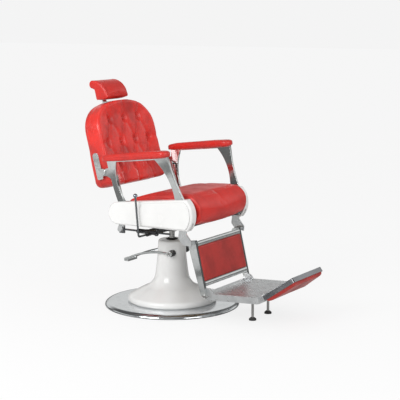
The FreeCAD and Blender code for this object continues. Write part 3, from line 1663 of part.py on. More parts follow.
def make_calf_frame():
    """The chrome frame round the calf panel: two tapered channels and two cross bars."""
    channel = doc.addObject("PartDesign::Body", "calf_channel_body")
    side = sketch_on(channel, "channel_side", "YZ_Plane", S.calf_half)
    outline(side, [
        (-3, 6),
        (-3, -S.calf_length),
        (S.channel_foot_depth - 3, -S.calf_length),
        (S.channel_top_depth - 3, -24),
        (S.channel_top_depth - 3, 0),
        ("bow", S.channel_top_depth - 9, 6),
        (S.channel_top_depth - 15, 8),
    ])
    pad(channel, "channel_pad", side, S.channel_width)
    on_calf(channel)
    bars = doc.addObject("PartDesign::Body", "calf_bars_body")
    bars.AllowCompound = True
    for name, top in (("top", term(0)), ("foot", -S.calf_panel_low)):
        section = sketch_on(bars, f"bar_{name}_side", "YZ_Plane")
        outline(section, [
            (-3, top - S.calf_bar),
            (12, top - S.calf_bar),
            (12, top),
            (-3, top),
            ("bow", -7, top - S.calf_bar / 2),
        ])
        pad(bars, f"bar_{name}_pad", section, S.calf_half * 2, both=True)
    back = sketch_on(bars, "calf_back", "XZ_Plane", 8 - S.calf_pad_thick)
    rectangle(back, -S.calf_half, -S.calf_panel_low - 1, S.calf_half, 1 - S.calf_bar)
    pad(bars, "calf_back_pad", back, 2, reverse=True)
    on_calf(bars)
    holes = [rod(f"channel_hole_{number}", S.tread_bolt_radius, S.channel_width + 4,
                 S.calf_half - 2, y, z, "X") for number, (y, z) in enumerate(tread_bolt_places())]
    drilled = cut("calf_channel_drilled", channel, join("channel_holes", holes))
    other = reflected(drilled, "calf_channel_mirror")
    keep(join("calf_frame_solid", [drilled, other, bars]), "calf_frame")


def make_calf_panel():
    """The upholstered calf panel and the sheet that closes its rear."""
    body = new_body("calf_panel")
    face = sketch_on(body, "calf_face", "XZ_Plane", 8)
    rectangle(face, -S.calf_half + 1, -S.calf_panel_low + 1, S.calf_half - 1, -S.calf_bar - 1)
    pad(body, "calf_face_pad", face, S.calf_pad_thick, reverse=True)
    on_calf(body)


def on_tread(piece):
    place(piece, 0, S.tread_y, S.tread_z, (1, 0, 0), -S.tread_tilt)


def hinge_place():
    """The toe flap's hinge line, in the tread's own frame."""
    return -S.tread_length - S.flap_hinge_out, S.flap_hinge_up


def make_tread_plate():
    """The cast tread: a pan open below, grooved on top, with the flap's lugs at the front."""
    body = new_body("tread_plate")
    long = S.tread_length
    plan = sketch_on(body, "tread_plan", "XY_Plane", -S.tread_side)
    rectangle(plan, -S.calf_half, -long, S.calf_half, 0)
    pad(body, "tread_pad", plan, S.tread_side)
    round_edges(body, "tread_corners", 8, edges_along("Z", 20))
    under = sketch_on(body, "tread_under", "XY_Plane", -S.tread_side)
    rectangle(under, -S.calf_half + 6, 6 - long, S.calf_half - 6, -6)
    pocket(body, "tread_under_cut", under, S.tread_side - S.tread_skin, reverse=True)
    hinge_y, hinge_z = hinge_place()
    lugs = sketch_on(body, "tread_lugs", "YZ_Plane")
    outline(lugs, [
        (2 - long, -S.tread_side + 6),
        (2 - long, -1),
        (hinge_y, hinge_z + S.hinge_pin_radius + 4),
        ("bow", hinge_y - S.hinge_pin_radius - 4, hinge_z),
        (hinge_y, hinge_z - S.hinge_pin_radius - 4),
        (-long, -S.tread_side + 6),
    ])
    pad(body, "tread_lug_pad", lugs, S.lug_pitch * 4 + S.lug_width, both=True)
    for number in (-1, 1):
        gap = sketch_on(body, f"lug_gap_{number + 1}", "XY_Plane", -S.tread_side - 1)
        middle = S.lug_pitch * number
        rectangle(gap, middle - S.lug_pitch + S.lug_width / 2, hinge_y - 30,
                  middle + S.lug_pitch - S.lug_width / 2, -long)
        pocket(body, f"lug_gap_cut_{number + 1}", gap, S.tread_side * 3, reverse=True)
    bore = sketch_on(body, "hinge_bore", "YZ_Plane")
    circle(bore, hinge_y, hinge_z, S.hinge_pin_radius)
    pocket(body, "hinge_bore_cut", bore, S.calf_half * 3, both=True)
    groove = sketch_on(body, "groove_section", "YZ_Plane")
    first = -S.rib_pitch
    outline(groove, [
        (first - 3, 1),
        (first - 2, -3),
        (first + 2, -3),
        (first + 3, 1),
    ])
    cutter = pocket(body, "groove_cut", groove, S.calf_half * 3, both=True)
    rows = body.newObject("PartDesign::LinearPattern", "groove_rows")
    rows.Originals = [cutter]
    rows.Direction = (plane_of(body, "Y_Axis"), [""])
    rows.Reversed = True
    count = int((long.value - S.rib_pitch.value * 0.5) // S.rib_pitch.value)
    rows.Mode = "Spacing"
    bind(rows, "Offset", S.rib_pitch)
    rows.Occurrences = count
    body.Tip = rows
    for side, start in (("left", S.calf_half - S.ear_wall), ("right", -S.calf_half)):
        tread_ear(body, side, start)
    on_tread(body)


def tread_ear(body, side, start):
    """A cheek that stands up from the tread's rear corner, inside the channel."""
    ear = sketch_on(body, f"ear_{side}_side", "YZ_Plane", start)
    long, high = S.tread_ear_length, S.tread_ear_height
    outline(ear, [
        (-2, -S.tread_skin / 2),
        (-2, high * 0.8),
        ("bow", -high * 0.35, high),
        (-high, high * 0.9),
        ("bow", -long * 0.8, high * 0.6),
        (-long, -S.tread_skin / 2),
    ])
    pad(body, f"ear_{side}_pad", ear, S.ear_wall)


def tread_bolt_places():
    """The two bolt holes in each channel's foot, seen from the side."""
    z = S.tread_z - S.tread_side / 2 + 6
    return [(S.tread_y - 12, z), (S.tread_y - 25, z - 3)]


def make_tread_bolts():
    """Bolts through the channels' feet, heads outside, ends against the tread's sides."""
    bolts = []
    for number, (y, z) in enumerate(tread_bolt_places()):
        for side in ("left", "right"):
            start = S.calf_half
            shank = side_bar(side, f"tread_shank_{number}", S.tread_bolt_radius, start,
                             start + S.channel_width + 2, y, z)
            head = side_bar(side, f"tread_head_{number}", S.tread_bolt_radius * 1.7,
                            start + S.channel_width, start + S.channel_width + 4, y, z)
            bolts.append(join(f"tread_bolt_{side}_{number}", [shank, head]))
    keep(group("tread_bolt_set", bolts), "tread_bolts")


def make_feet():
    """The two screw feet: a sleeve under the tread, a stem and a rubber pad on each."""
    sleeves = []
    top = S.tread_z + (S.tread_y - S.foot_y) * tangent(S.tread_tilt) - S.tread_skin
    for side, sign in (("left", 1), ("right", -1)):
        x = S.foot_x * sign
        low = top - S.foot_sleeve_length
        outside = rod(f"sleeve_outside_{side}", S.foot_sleeve_radius, S.foot_sleeve_length - 1, x,
                      S.foot_y, low)
        inside = rod(f"sleeve_inside_{side}", S.foot_stem_radius + S.running_gap,
                     S.foot_sleeve_length + 4, x, S.foot_y, low - 2)
        sleeves.append(cut(f"sleeve_{side}", outside, inside))
        stem_low = S.foot_pad_height * 0.5
        keep(rod(f"stem_{side}", S.foot_stem_radius, top - 16 - stem_low, x, S.foot_y, stem_low),
             f"foot_stem_{side}")
        cap = doc.addObject("Part::Cone", f"foot_cone_{side}")
        bind(cap, "Radius1", S.foot_pad_radius)
        bind(cap, "Radius2", S.foot_pad_radius * 0.6)
        bind(cap, "Height", S.foot_pad_height * 0.5)
        place(cap, x, S.foot_y, S.foot_pad_height * 0.5)
        disc = rod(f"foot_disc_{side}", S.foot_pad_radius, S.foot_pad_height * 0.5, x, S.foot_y, 0)
        hole = rod(f"foot_hole_{side}", S.foot_stem_radius, S.foot_pad_height, x, S.foot_y, stem_low)
        solid = join(f"foot_solid_{side}", [disc, cap])
        keep(cut(f"foot_cut_{side}", solid, hole), f"foot_pad_{side}")
    keep(group("sleeve_pair", sleeves), "foot_sleeves")


def on_flap(piece):
    """Put a piece drawn in the toe flap's frame on its hinge line."""
    hinge_y, hinge_z = hinge_place()
    tilt = S.tread_tilt
    y = S.tread_y + hinge_y * cosine(tilt) + hinge_z * sine(tilt)
    z = S.tread_z - hinge_y * sine(tilt) + hinge_z * cosine(tilt)
    place(piece, 0, y, z, (1, 0, 0), -S.flap_tilt)


def flap_path(inset):
    """The toe flap seen from above, narrower at the tip."""
    start = -S.flap_start - inset
    wide = S.calf_half - S.flap_side_in - inset
    narrow = S.flap_tip_half - inset
    tip = -S.flap_length + inset
    corner = S.flap_corner
    brow = narrow + corner * 0.286
    end = narrow - corner * 0.714
    return [
        (-wide, start),
        (-brow, tip + corner),
        ("bow", -narrow, tip + corner * 0.286),
        (-end, tip),
        (end, tip),
        ("bow", narrow, tip + corner * 0.286),
        (brow, tip + corner),
        (wide, start),
    ]


def make_toe_flap():
    """The toe flap: a metal tray with a chrome edge band and lugs on the hinge."""
    body = new_body("flap_frame")
    low = -S.flap_drop - S.flap_band
    plan = sketch_on(body, "flap_plan", "XY_Plane", low)
    outline(plan, flap_path(term(0)))
    pad(body, "flap_pad_solid", plan, S.flap_band)
    under = sketch_on(body, "flap_under", "XY_Plane", low)
    outline(under, flap_path(S.flap_skin))
    pocket(body, "flap_under_cut", under, S.flap_band - S.flap_skin, reverse=True)
    lugs = sketch_on(body, "flap_lugs", "YZ_Plane")
    knuckle = S.hinge_pin_radius + 4
    outline(lugs, [
        (-S.flap_start - S.flap_skin / 2, low + 2),
        (0, -knuckle),
        ("bow", knuckle, 0),
        (0, knuckle),
        (-S.flap_start - S.flap_skin / 2, -S.flap_drop),
    ])
    span = S.lug_pitch * 2 + S.lug_width
    pad(body, "flap_lug_pad", lugs, span, both=True)
    gap = sketch_on(body, "flap_lug_gap", "XY_Plane", low - 10)
    rectangle(gap, S.lug_width / 2 - S.lug_pitch, -S.flap_start, S.lug_pitch - S.lug_width / 2, knuckle + 4)
    pocket(body, "flap_lug_cut", gap, S.flap_band * 3, reverse=True)
    bore = sketch_on(body, "flap_bore", "YZ_Plane")
    circle(bore, 0, 0, S.hinge_pin_radius + S.running_gap)
    pocket(body, "flap_bore_cut", bore, S.calf_half * 3, both=True)
    on_flap(body)
    cushion = new_body("flap_pad")
    foot = -S.flap_drop - S.flap_skin - S.flap_pad_thick
    shape = sketch_on(cushion, "flap_cushion_plan", "XY_Plane", foot)
    outline(shape, flap_path(S.flap_skin + S.soft_gap))
    pad(cushion, "flap_cushion_pad", shape, S.flap_pad_thick)
    round_edges(cushion, "flap_cushion_round", S.flap_pad_thick * 0.4, edges_near("Z", foot))
    on_flap(cushion)


def make_flap_pin():
    hinge_y, hinge_z = hinge_place()
    tilt = S.tread_tilt
    y = S.tread_y + hinge_y * cosine(tilt) + hinge_z * sine(tilt)
    z = S.tread_z - hinge_y * sine(tilt) + hinge_z * cosine(tilt)
    half = S.lug_pitch * 2 + S.lug_width / 2
    keep(rod("flap_pin_bar", S.hinge_pin_radius, half * 2, -half, y, z, "X"), "flap_hinge_pin")


def finish_model():
    """Refuse a failed piece, then write one file for each."""
    doc.recompute()
    for thing in doc.Objects:
        if "Invalid" in thing.State or "Error" in thing.State:
            raise RuntimeError(f"{thing.Label} did not build: {thing.State}")
    os.makedirs("parts", exist_ok=True)
    for piece in SUBPARTS:
        shape = piece.Shape
        if shape.isNull() or not shape.isValid() or not shape.Solids:
            raise RuntimeError(f"{piece.Label} has no sound solid")
        shape.exportStep(f"parts/{piece.Label}.step")


make_base_disc()
make_rubber_ring()
make_pedestal_cover()
make_pump_cylinder()
make_flange_bolts()
make_ram_guides()
make_pump_block()
make_lever_bushes()
make_lever_shaft()
make_plunger()
make_foot_lever()
make_ram()
make_seat_mount()
make_seat_frame()
make_mount_bolts()
make_seat_board()
make_seat_cushion()
make_side_panel()
make_arm_frame()
make_arm_pad()
make_foot_screws()
make_pivot_pins()
make_lock_housing()
make_recline_lever()
make_back_board()
make_back_cushion()
make_back_rear()
make_back_buttons()
make_back_bracket()
make_headrest_socket()
make_headrest_post()
make_headrest_bracket()
make_headrest_pillow()
make_links()
make_crank()
make_release_arm()
make_lock_rod()
make_legrest_arm()
make_calf_frame()
make_calf_panel()
make_tread_plate()
make_tread_bolts()
make_feet()
make_toe_flap()
make_flap_pin()
finish_model()
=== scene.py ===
import json
import math

import bmesh
import bpy
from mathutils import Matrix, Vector
from mathutils.bvhtree import BVHTree


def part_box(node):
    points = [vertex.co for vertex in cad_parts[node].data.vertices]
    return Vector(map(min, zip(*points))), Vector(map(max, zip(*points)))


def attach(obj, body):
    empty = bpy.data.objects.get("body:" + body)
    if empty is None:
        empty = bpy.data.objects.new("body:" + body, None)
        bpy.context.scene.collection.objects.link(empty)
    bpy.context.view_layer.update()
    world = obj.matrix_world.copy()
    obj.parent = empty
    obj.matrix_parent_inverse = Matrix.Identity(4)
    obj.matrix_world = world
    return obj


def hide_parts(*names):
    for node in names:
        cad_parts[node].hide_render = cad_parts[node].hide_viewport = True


# A hydraulic barber chair in red hide, chrome and white enamel. Metres, Z up, and the sitter
# looks along -Y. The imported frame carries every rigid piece; the soft goods are made here.

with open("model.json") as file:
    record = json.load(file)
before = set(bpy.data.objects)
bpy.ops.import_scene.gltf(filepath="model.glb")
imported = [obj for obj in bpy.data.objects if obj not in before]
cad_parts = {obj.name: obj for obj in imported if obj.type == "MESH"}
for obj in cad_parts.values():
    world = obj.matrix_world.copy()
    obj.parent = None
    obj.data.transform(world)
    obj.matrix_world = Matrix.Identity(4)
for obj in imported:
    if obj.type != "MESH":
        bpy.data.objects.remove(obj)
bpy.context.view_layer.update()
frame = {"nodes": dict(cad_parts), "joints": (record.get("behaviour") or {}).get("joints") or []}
nodes = frame["nodes"]
joints = {joint["name"]: joint for joint in frame["joints"]}

MM = 0.001
BACK_TILT = math.radians(15)
BACK_PIVOT = Vector(joints["back_recline"]["pos_m"])
PLATE_RIPPLE = 0.12 * MM


# Shader building


def link(tree, source, target):
    tree.links.new(source, target)


def shader_node(tree, kind, **settings):
    """A node of a kind, with its properties set by name and its inputs by number or name."""
    made = tree.nodes.new("ShaderNode" + kind)
    inputs = settings.pop("inputs", {})
    for name, value in settings.items():
        setattr(made, name, value)
    for name, value in inputs.items():
        if isinstance(value, bpy.types.NodeSocket):
            link(tree, value, made.inputs[name])
        else:
            made.inputs[name].default_value = value
    return made


def effect_group(name, inputs, outputs):
    """A node group with named sockets: its tree, its input node and its output node."""
    group = bpy.data.node_groups.new(name, "ShaderNodeTree")
    for label, kind, value in inputs:
        socket = group.interface.new_socket(label, in_out="INPUT", socket_type="NodeSocket" + kind)
        socket.default_value = value
    for label, kind in outputs:
        group.interface.new_socket(label, in_out="OUTPUT", socket_type="NodeSocket" + kind)
    return group, group.nodes.new("NodeGroupInput"), group.nodes.new("NodeGroupOutput")


def maths(tree, operation, first, second=0.0, clamp=False):
    return shader_node(tree, "Math", operation=operation, use_clamp=clamp,
                       inputs={0: first, 1: second}).outputs[0]


def remap(tree, value, low, high, to_low, to_high):
    made = shader_node(tree, "MapRange", clamp=True, interpolation_type="SMOOTHSTEP", inputs={
        "Value": value, "From Min": low, "From Max": high, "To Min": to_low, "To Max": to_high})
    return made.outputs["Result"]


def place_in_piece(tree):
    return shader_node(tree, "TexCoord").outputs["Object"]


def noise(tree, where, scale, detail=3.0, rough=0.5):
    made = shader_node(tree, "TexNoise", inputs={
        "Vector": where, "Scale": scale, "Detail": detail, "Roughness": rough})
    return made.outputs["Fac"]


def hide_skin_group():
    """Grained hide: pebbles, fine pores and long soft creases, and where the dye has rubbed."""
    group, entry, out = effect_group("hide_skin", [
        ("Pebble Scale", "Float", 420.0), ("Crease Scale", "Float", 22.0),
        ("Rub Scale", "Float", 9.0)], [("Height", "Float"), ("Rub", "Float"), ("Pore", "Float")])
    where = place_in_piece(group)
    pebbles = shader_node(group, "TexVoronoi", feature="SMOOTH_F1", inputs={
        "Vector": where, "Scale": entry.outputs["Pebble Scale"], "Smoothness": 0.45}).outputs["Distance"]
    pores = noise(group, where, maths(group, "MULTIPLY", entry.outputs["Pebble Scale"], 2.3), 2.0)
    swirl = noise(group, where, entry.outputs["Crease Scale"], 5.0, 0.62)
    creases = shader_node(group, "TexVoronoi", feature="DISTANCE_TO_EDGE", inputs={
        "Vector": shader_node(group, "VectorMath", operation="ADD", inputs={
            0: where,
            1: shader_node(group, "VectorMath", operation="SCALE", inputs={
                0: shader_node(group, "TexNoise", inputs={
                    "Vector": where, "Scale": entry.outputs["Crease Scale"],
                    "Detail": 4.0}).outputs["Color"],
                "Scale": 0.05}).outputs[0]}).outputs[0],
        "Scale": maths(group, "MULTIPLY", entry.outputs["Crease Scale"], 1.7)}).outputs["Distance"]
    crease_line = remap(group, creases, 0.0, 0.07, 1.0, 0.0)
    fine = maths(group, "MULTIPLY", maths(group, "SUBTRACT", 1.0, pebbles), 0.55)
    body = maths(group, "ADD", fine, maths(group, "MULTIPLY", pores, 0.2))
    broad = maths(group, "ADD", body, maths(group, "MULTIPLY", swirl, 0.9))
    height = maths(group, "SUBTRACT", broad, maths(group, "MULTIPLY", crease_line, 0.3))
    rub = noise(group, where, entry.outputs["Rub Scale"], 6.0, 0.6)
    link(group, height, out.inputs["Height"])
    link(group, remap(group, rub, 0.34, 0.72, 0.0, 1.0), out.inputs["Rub"])
    link(group, pebbles, out.inputs["Pore"])
    return group


def handled_group():
    """Uneven polish: broad smears from hands and cloths, and short fine scratches."""
    group, entry, out = effect_group("handled", [
        ("Least", "Float", 0.05), ("Most", "Float", 0.2), ("Scale", "Float", 7.0)],
        [("Roughness", "Float"), ("Scratch", "Float")])
    where = place_in_piece(group)
    smear = noise(group, where, entry.outputs["Scale"], 5.0, 0.65)
    stretched = shader_node(group, "Mapping", inputs={
        "Vector": where, "Rotation": (0.3, 0.5, 0.9), "Scale": (60.0, 900.0, 500.0)}).outputs[0]
    lines = noise(group, stretched, 1.0, 2.0, 0.5)
    scratch = remap(group, lines, 0.66, 0.78, 0.0, 1.0)
    spread = shader_node(group, "MapRange", inputs={
        "Value": smear, "From Min": 0.3, "From Max": 0.72,
        "To Min": entry.outputs["Least"], "To Max": entry.outputs["Most"]}).outputs["Result"]
    link(group, maths(group, "ADD", spread, maths(group, "MULTIPLY", scratch, 0.07)),
         out.inputs["Roughness"])
    link(group, scratch, out.inputs["Scratch"])
    return group


def settled_dust_group():
    """Where dust lies: faces that look up, in patches."""
    group, entry, out = effect_group("settled_dust", [
        ("Amount", "Float", 0.3), ("Scale", "Float", 12.0)], [("Mask", "Float")])
    normal = shader_node(group, "NewGeometry").outputs["Normal"]
    upward = shader_node(group, "SeparateXYZ", inputs={0: normal}).outputs["Z"]
    patches = noise(group, place_in_piece(group), entry.outputs["Scale"], 6.0, 0.7)
    lying = maths(group, "MULTIPLY", remap(group, upward, 0.35, 0.95, 0.0, 1.0),
                  remap(group, patches, 0.4, 0.75, 0.25, 1.0))
    link(group, maths(group, "MULTIPLY", lying, entry.outputs["Amount"], True), out.inputs["Mask"])
    return group


def cast_skin_group():
    """The skin of a sand casting: coarse sand grain over broad low waves, with pits."""
    group, entry, out = effect_group("cast_skin", [
        ("Grain Scale", "Float", 500.0), ("Wave Scale", "Float", 30.0)],
        [("Height", "Float"), ("Tone", "Float")])
    where = place_in_piece(group)
    grain = noise(group, where, entry.outputs["Grain Scale"], 3.0, 0.6)
    waves = noise(group, where, entry.outputs["Wave Scale"], 3.0, 0.5)
    pits = shader_node(group, "TexVoronoi", inputs={
        "Vector": where,
        "Scale": maths(group, "MULTIPLY", entry.outputs["Grain Scale"], 0.4)}).outputs["Distance"]
    pitted = maths(group, "ADD", maths(group, "MULTIPLY", grain, 0.5),
                   maths(group, "MULTIPLY", pits, 0.25))
    link(group, maths(group, "ADD", pitted, waves), out.inputs["Height"])
    link(group, remap(group, waves, 0.3, 0.7, 0.0, 1.0), out.inputs["Tone"])
    return group


def flow_coat_group():
    """The faint ripple of sprayed enamel, and its slight change of tone."""
    group, entry, out = effect_group("flow_coat", [
        ("Ripple Scale", "Float", 140.0)], [("Height", "Float"), ("Tone", "Float")])
    where = place_in_piece(group)
    link(group, noise(group, where, entry.outputs["Ripple Scale"], 2.0, 0.4), out.inputs["Height"])
    link(group, noise(group, where, 5.0, 4.0, 0.6), out.inputs["Tone"])
    return group


HIDE_SKIN = hide_skin_group()
HANDLED = handled_group()
SETTLED_DUST = settled_dust_group()
CAST_SKIN = cast_skin_group()
FLOW_COAT = flow_coat_group()


def effect(tree, group, **inputs):
    """A shared effect placed in a material, with its own values."""
    made = tree.nodes.new("ShaderNodeGroup")
    made.node_tree = group
    for name, value in inputs.items():
        made.inputs[name.replace("_", " ").title()].default_value = value
    return made.outputs


def new_finish(name):
    """An empty material: its tree and its main shader."""
    material = bpy.data.materials.new(name)
    material.use_nodes = True
    tree = material.node_tree
    return material, tree, tree.nodes["Principled BSDF"]


def blend_colours(tree, mask, first, second):
    made = shader_node(tree, "Mix", data_type="RGBA", inputs={0: mask})
    for index, colour in ((6, first), (7, second)):
        if isinstance(colour, bpy.types.NodeSocket):
            link(tree, colour, made.inputs[index])
        else:
            made.inputs[index].default_value = (*colour, 1.0)
    return made.outputs[2]


def raise_surface(tree, shader, height, depth, edge=0.0):
    """Relief from a height, over edges rounded by a small radius."""
    bump = shader_node(tree, "Bump", inputs={"Height": height, "Strength": 1.0, "Distance": depth})
    if edge:
        rounded = shader_node(tree, "Bevel", samples=6, inputs={"Radius": edge})
        link(tree, rounded.outputs[0], bump.inputs["Normal"])
    link(tree, bump.outputs[0], shader.inputs["Normal"])


def darker(colour):
    return tuple(part * 0.55 for part in colour)


def hide(name, colour, worn, pebble=420.0, crease=22.0, rough=0.3, relief=0.0003, coat=0.12):
    """Coated hide: a red that turns darker where it has rubbed, grained and slightly glossy."""
    material, tree, shader = new_finish(name)
    skin = effect(tree, HIDE_SKIN, pebble_scale=pebble, crease_scale=crease, rub_scale=9.0)
    tone = blend_colours(tree, skin["Rub"], colour, worn)
    pores = remap(tree, skin["Pore"], 0.25, 0.75, 0.0, 0.22)
    shade = blend_colours(tree, pores, tone, darker(worn))
    dust = effect(tree, SETTLED_DUST, amount=0.05)["Mask"]
    link(tree, blend_colours(tree, dust, shade, (0.62, 0.55, 0.5)), shader.inputs["Base Color"])
    polish = remap(tree, skin["Rub"], 0.0, 1.0, rough, rough + 0.13)
    link(tree, polish, shader.inputs["Roughness"])
    shader.inputs["Specular IOR Level"].default_value = 0.42
    shader.inputs["Coat Weight"].default_value = coat
    shader.inputs["Coat Roughness"].default_value = 0.22
    raise_surface(tree, shader, skin["Height"], relief)
    return material


def polished(name, colour, least, most, edge=0.0012):
    """Plated or polished metal with smears, short scratches and softened edges."""
    material, tree, shader = new_finish(name)
    marks = effect(tree, HANDLED, least=least, most=most)
    dust = effect(tree, SETTLED_DUST, amount=0.06)["Mask"]
    cloud = remap(tree, noise(tree, place_in_piece(tree), 34.0, 4.0, 0.6), 0.46, 0.68, 0.0, 0.16)
    clouded = blend_colours(tree, cloud, colour, darker(colour))
    link(tree, blend_colours(tree, dust, clouded, (0.5, 0.48, 0.45)), shader.inputs["Base Color"])
    shader.inputs["Metallic"].default_value = 1.0
    link(tree, marks["Roughness"], shader.inputs["Roughness"])
    ripple = effect(tree, FLOW_COAT, ripple_scale=45.0)["Height"]
    scored = maths(tree, "SUBTRACT", ripple, maths(tree, "MULTIPLY", marks["Scratch"], 0.2))
    raise_surface(tree, shader, scored, PLATE_RIPPLE, edge)
    return material


def enamel(name, colour, shaded, edge=0.0015):
    """Glossy sprayed enamel under a clear skin."""
    material, tree, shader = new_finish(name)
    coat = effect(tree, FLOW_COAT, ripple_scale=150.0)
    dust = effect(tree, SETTLED_DUST, amount=0.1)["Mask"]
    tone = blend_colours(tree, remap(tree, coat["Tone"], 0.35, 0.7, 0.0, 1.0), colour, shaded)
    link(tree, blend_colours(tree, dust, tone, (0.66, 0.64, 0.6)), shader.inputs["Base Color"])
    link(tree, effect(tree, HANDLED, least=0.14, most=0.3, scale=5.0)["Roughness"],
         shader.inputs["Roughness"])
    shader.inputs["Coat Weight"].default_value = 0.35
    shader.inputs["Coat Roughness"].default_value = 0.1
    raise_surface(tree, shader, coat["Height"], 0.00006, edge)
    return material


def cast_metal(name, colour, dark, least, most, metal=1.0, relief=0.00035, edge=0.001):
    """Cast metal: sandy skin, tone that drifts, dull or buffed."""
    material, tree, shader = new_finish(name)
    skin = effect(tree, CAST_SKIN)
    dust = effect(tree, SETTLED_DUST, amount=0.12)["Mask"]
    tone = blend_colours(tree, skin["Tone"], colour, dark)
    link(tree, blend_colours(tree, dust, tone, (0.4, 0.38, 0.35)), shader.inputs["Base Color"])
    shader.inputs["Metallic"].default_value = metal
    link(tree, effect(tree, HANDLED, least=least, most=most, scale=14.0)["Roughness"],
         shader.inputs["Roughness"])
    raise_surface(tree, shader, skin["Height"], relief, edge)
    return material


def rubber(name):
    material, tree, shader = new_finish(name)
    skin = effect(tree, CAST_SKIN, grain_scale=900.0, wave_scale=40.0)
    dust = effect(tree, SETTLED_DUST, amount=0.35, scale=20.0)["Mask"]
    tone = blend_colours(tree, skin["Tone"], (0.018, 0.018, 0.019), (0.032, 0.031, 0.03))
    link(tree, blend_colours(tree, dust, tone, (0.16, 0.15, 0.14)), shader.inputs["Base Color"])
    link(tree, effect(tree, HANDLED, least=0.5, most=0.75)["Roughness"], shader.inputs["Roughness"])
    raise_surface(tree, shader, skin["Height"], 0.0002, 0.001)
    return material


def plywood(name):
    """Birch plywood: long grain on the faces and dark glue lines across the thickness."""
    material, tree, shader = new_finish(name)
    where = place_in_piece(tree)
    long = shader_node(tree, "Mapping", inputs={"Vector": where, "Scale": (3.0, 60.0, 60.0)}).outputs[0]
    grain = noise(tree, long, 4.0, 6.0, 0.6)
    plies = shader_node(tree, "TexWave", wave_type="BANDS", bands_direction="Z", inputs={
        "Vector": where, "Scale": 90.0, "Distortion": 1.5}).outputs["Fac"]
    face = blend_colours(tree, grain, (0.62, 0.45, 0.27), (0.42, 0.28, 0.15))
    link(tree, blend_colours(tree, remap(tree, plies, 0.0, 0.3, 0.35, 0.0), face, (0.16, 0.09, 0.045)),
         shader.inputs["Base Color"])
    link(tree, remap(tree, grain, 0.2, 0.8, 0.55, 0.75), shader.inputs["Roughness"])
    raise_surface(tree, shader, grain, 0.0002, 0.0008)
    return material


RED = (0.70, 0.030, 0.022)
RED_WORN = (0.54, 0.025, 0.020)
RED_HIDE = hide("red_hide", RED, RED_WORN)
RED_TUFTED = hide("red_hide_tufted", (0.86, 0.036, 0.026), (0.50, 0.024, 0.019), crease=30.0,
                  rough=0.24, relief=0.0006, coat=0.4)
RED_ARMS = hide("red_hide_arms", RED, RED_WORN, rough=0.26, coat=0.4)
# Painted shade: a darker copy of the red hide for the calf pad and the toe flap, whose faces turn down
# into shade.
RED_HIDE_PAINTED_SHADE = hide("red_hide_painted_shade", (0.52, 0.036, 0.029), (0.34, 0.027, 0.022), rough=0.38)
RED_WELT = hide("red_hide_welt", (0.66, 0.032, 0.024), (0.44, 0.024, 0.019), pebble=700.0,
                relief=0.0002, coat=0.45)
RED_THREAD = hide("red_thread", (0.46, 0.030, 0.022), (0.34, 0.020, 0.017), pebble=1400.0, rough=0.6)
CHROME = polished("bright_chrome", (0.84, 0.86, 0.86), 0.035, 0.13)
DISC_CHROME = polished("disc_chrome", (0.82, 0.84, 0.86), 0.07, 0.2, 0.002)
STEEL = polished("ground_steel", (0.50, 0.49, 0.48), 0.18, 0.36, 0.0006)
DARK_STEEL = polished("dark_steel", (0.20, 0.21, 0.22), 0.2, 0.42, 0.0006)
BLUED_STEEL = polished("blued_steel", (0.36, 0.41, 0.47), 0.16, 0.34, 0.0006)
BLACK_SPRING = polished("black_spring", (0.06, 0.06, 0.065), 0.25, 0.5, 0.0)
WHITE_ENAMEL = enamel("white_enamel", (0.84, 0.84, 0.83), (0.79, 0.79, 0.78))
DARK_PAINT = enamel("dark_paint", (0.035, 0.035, 0.038), (0.02, 0.02, 0.022), 0.0008)
BLACK_NYLON = enamel("black_nylon", (0.018, 0.018, 0.019), (0.03, 0.03, 0.03), 0.0006)
CAST_ALUMINIUM = cast_metal("cast_aluminium", (0.92, 0.93, 0.94), (0.80, 0.81, 0.82), 0.24, 0.4)
# Painted reflection: the toe flap's chrome is made dark in its colour to stand for the dark reflections
# on its band.
FLAP_CHROME_PAINTED_DARK = polished("chrome_painted_dark_reflection", (0.36, 0.36, 0.38), 0.12, 0.3)
CAST_IRON = cast_metal("cast_iron", (0.10, 0.10, 0.105), (0.05, 0.05, 0.052), 0.5, 0.7, 0.6)
BRONZE = cast_metal("bronze", (0.52, 0.33, 0.14), (0.36, 0.22, 0.09), 0.22, 0.4, relief=0.00005)
RUBBER = rubber("black_rubber")
PLYWOOD = plywood("plywood")

FINISH_OF_NODE = {
    "base_plate": DISC_CHROME, "base_rubber_ring": RUBBER, "pump_cylinder": CAST_IRON,
    "flange_bolts": STEEL, "ram_guide_bush": BRONZE, "ram_wiper_seal": RUBBER,
    "pump_block": CAST_IRON, "lever_shaft": STEEL, "lever_crank": DARK_PAINT,
    "foot_lever": CHROME, "pump_plunger": STEEL, "ram": STEEL, "seat_mount": DARK_PAINT,
    "mount_bolts": STEEL, "seat_frame": DARK_PAINT, "seat_board": PLYWOOD,
    "arm_frame_left": CHROME, "arm_frame_right": CHROME, "arm_foot_screws": STEEL,
    "hinge_pins": CHROME, "lock_housing": DARK_PAINT, "recline_lever": DARK_STEEL,
    "recline_knob": BLUED_STEEL, "back_board": PLYWOOD, "back_bracket_left": CHROME,
    "back_bracket_right": CHROME, "headrest_socket": DARK_PAINT, "headrest_post": CHROME,
    "headrest_bracket": DARK_PAINT, "recline_crank": DARK_PAINT, "release_arm": CAST_ALUMINIUM,
    "lock_rod": DARK_STEEL, "back_links": STEEL, "legrest_links": STEEL,
    "legrest_arm_left": CAST_ALUMINIUM, "legrest_arm_right": CAST_ALUMINIUM,
    "calf_frame": CHROME, "tread_plate": CAST_ALUMINIUM, "tread_bolts": STEEL,
    "foot_sleeves": DARK_PAINT, "flap_hinge_pin": STEEL, "flap_frame": FLAP_CHROME_PAINTED_DARK,
    "foot_stem_left": STEEL, "foot_stem_right": STEEL, "foot_pad_left": RUBBER,
    "foot_pad_right": RUBBER,
}


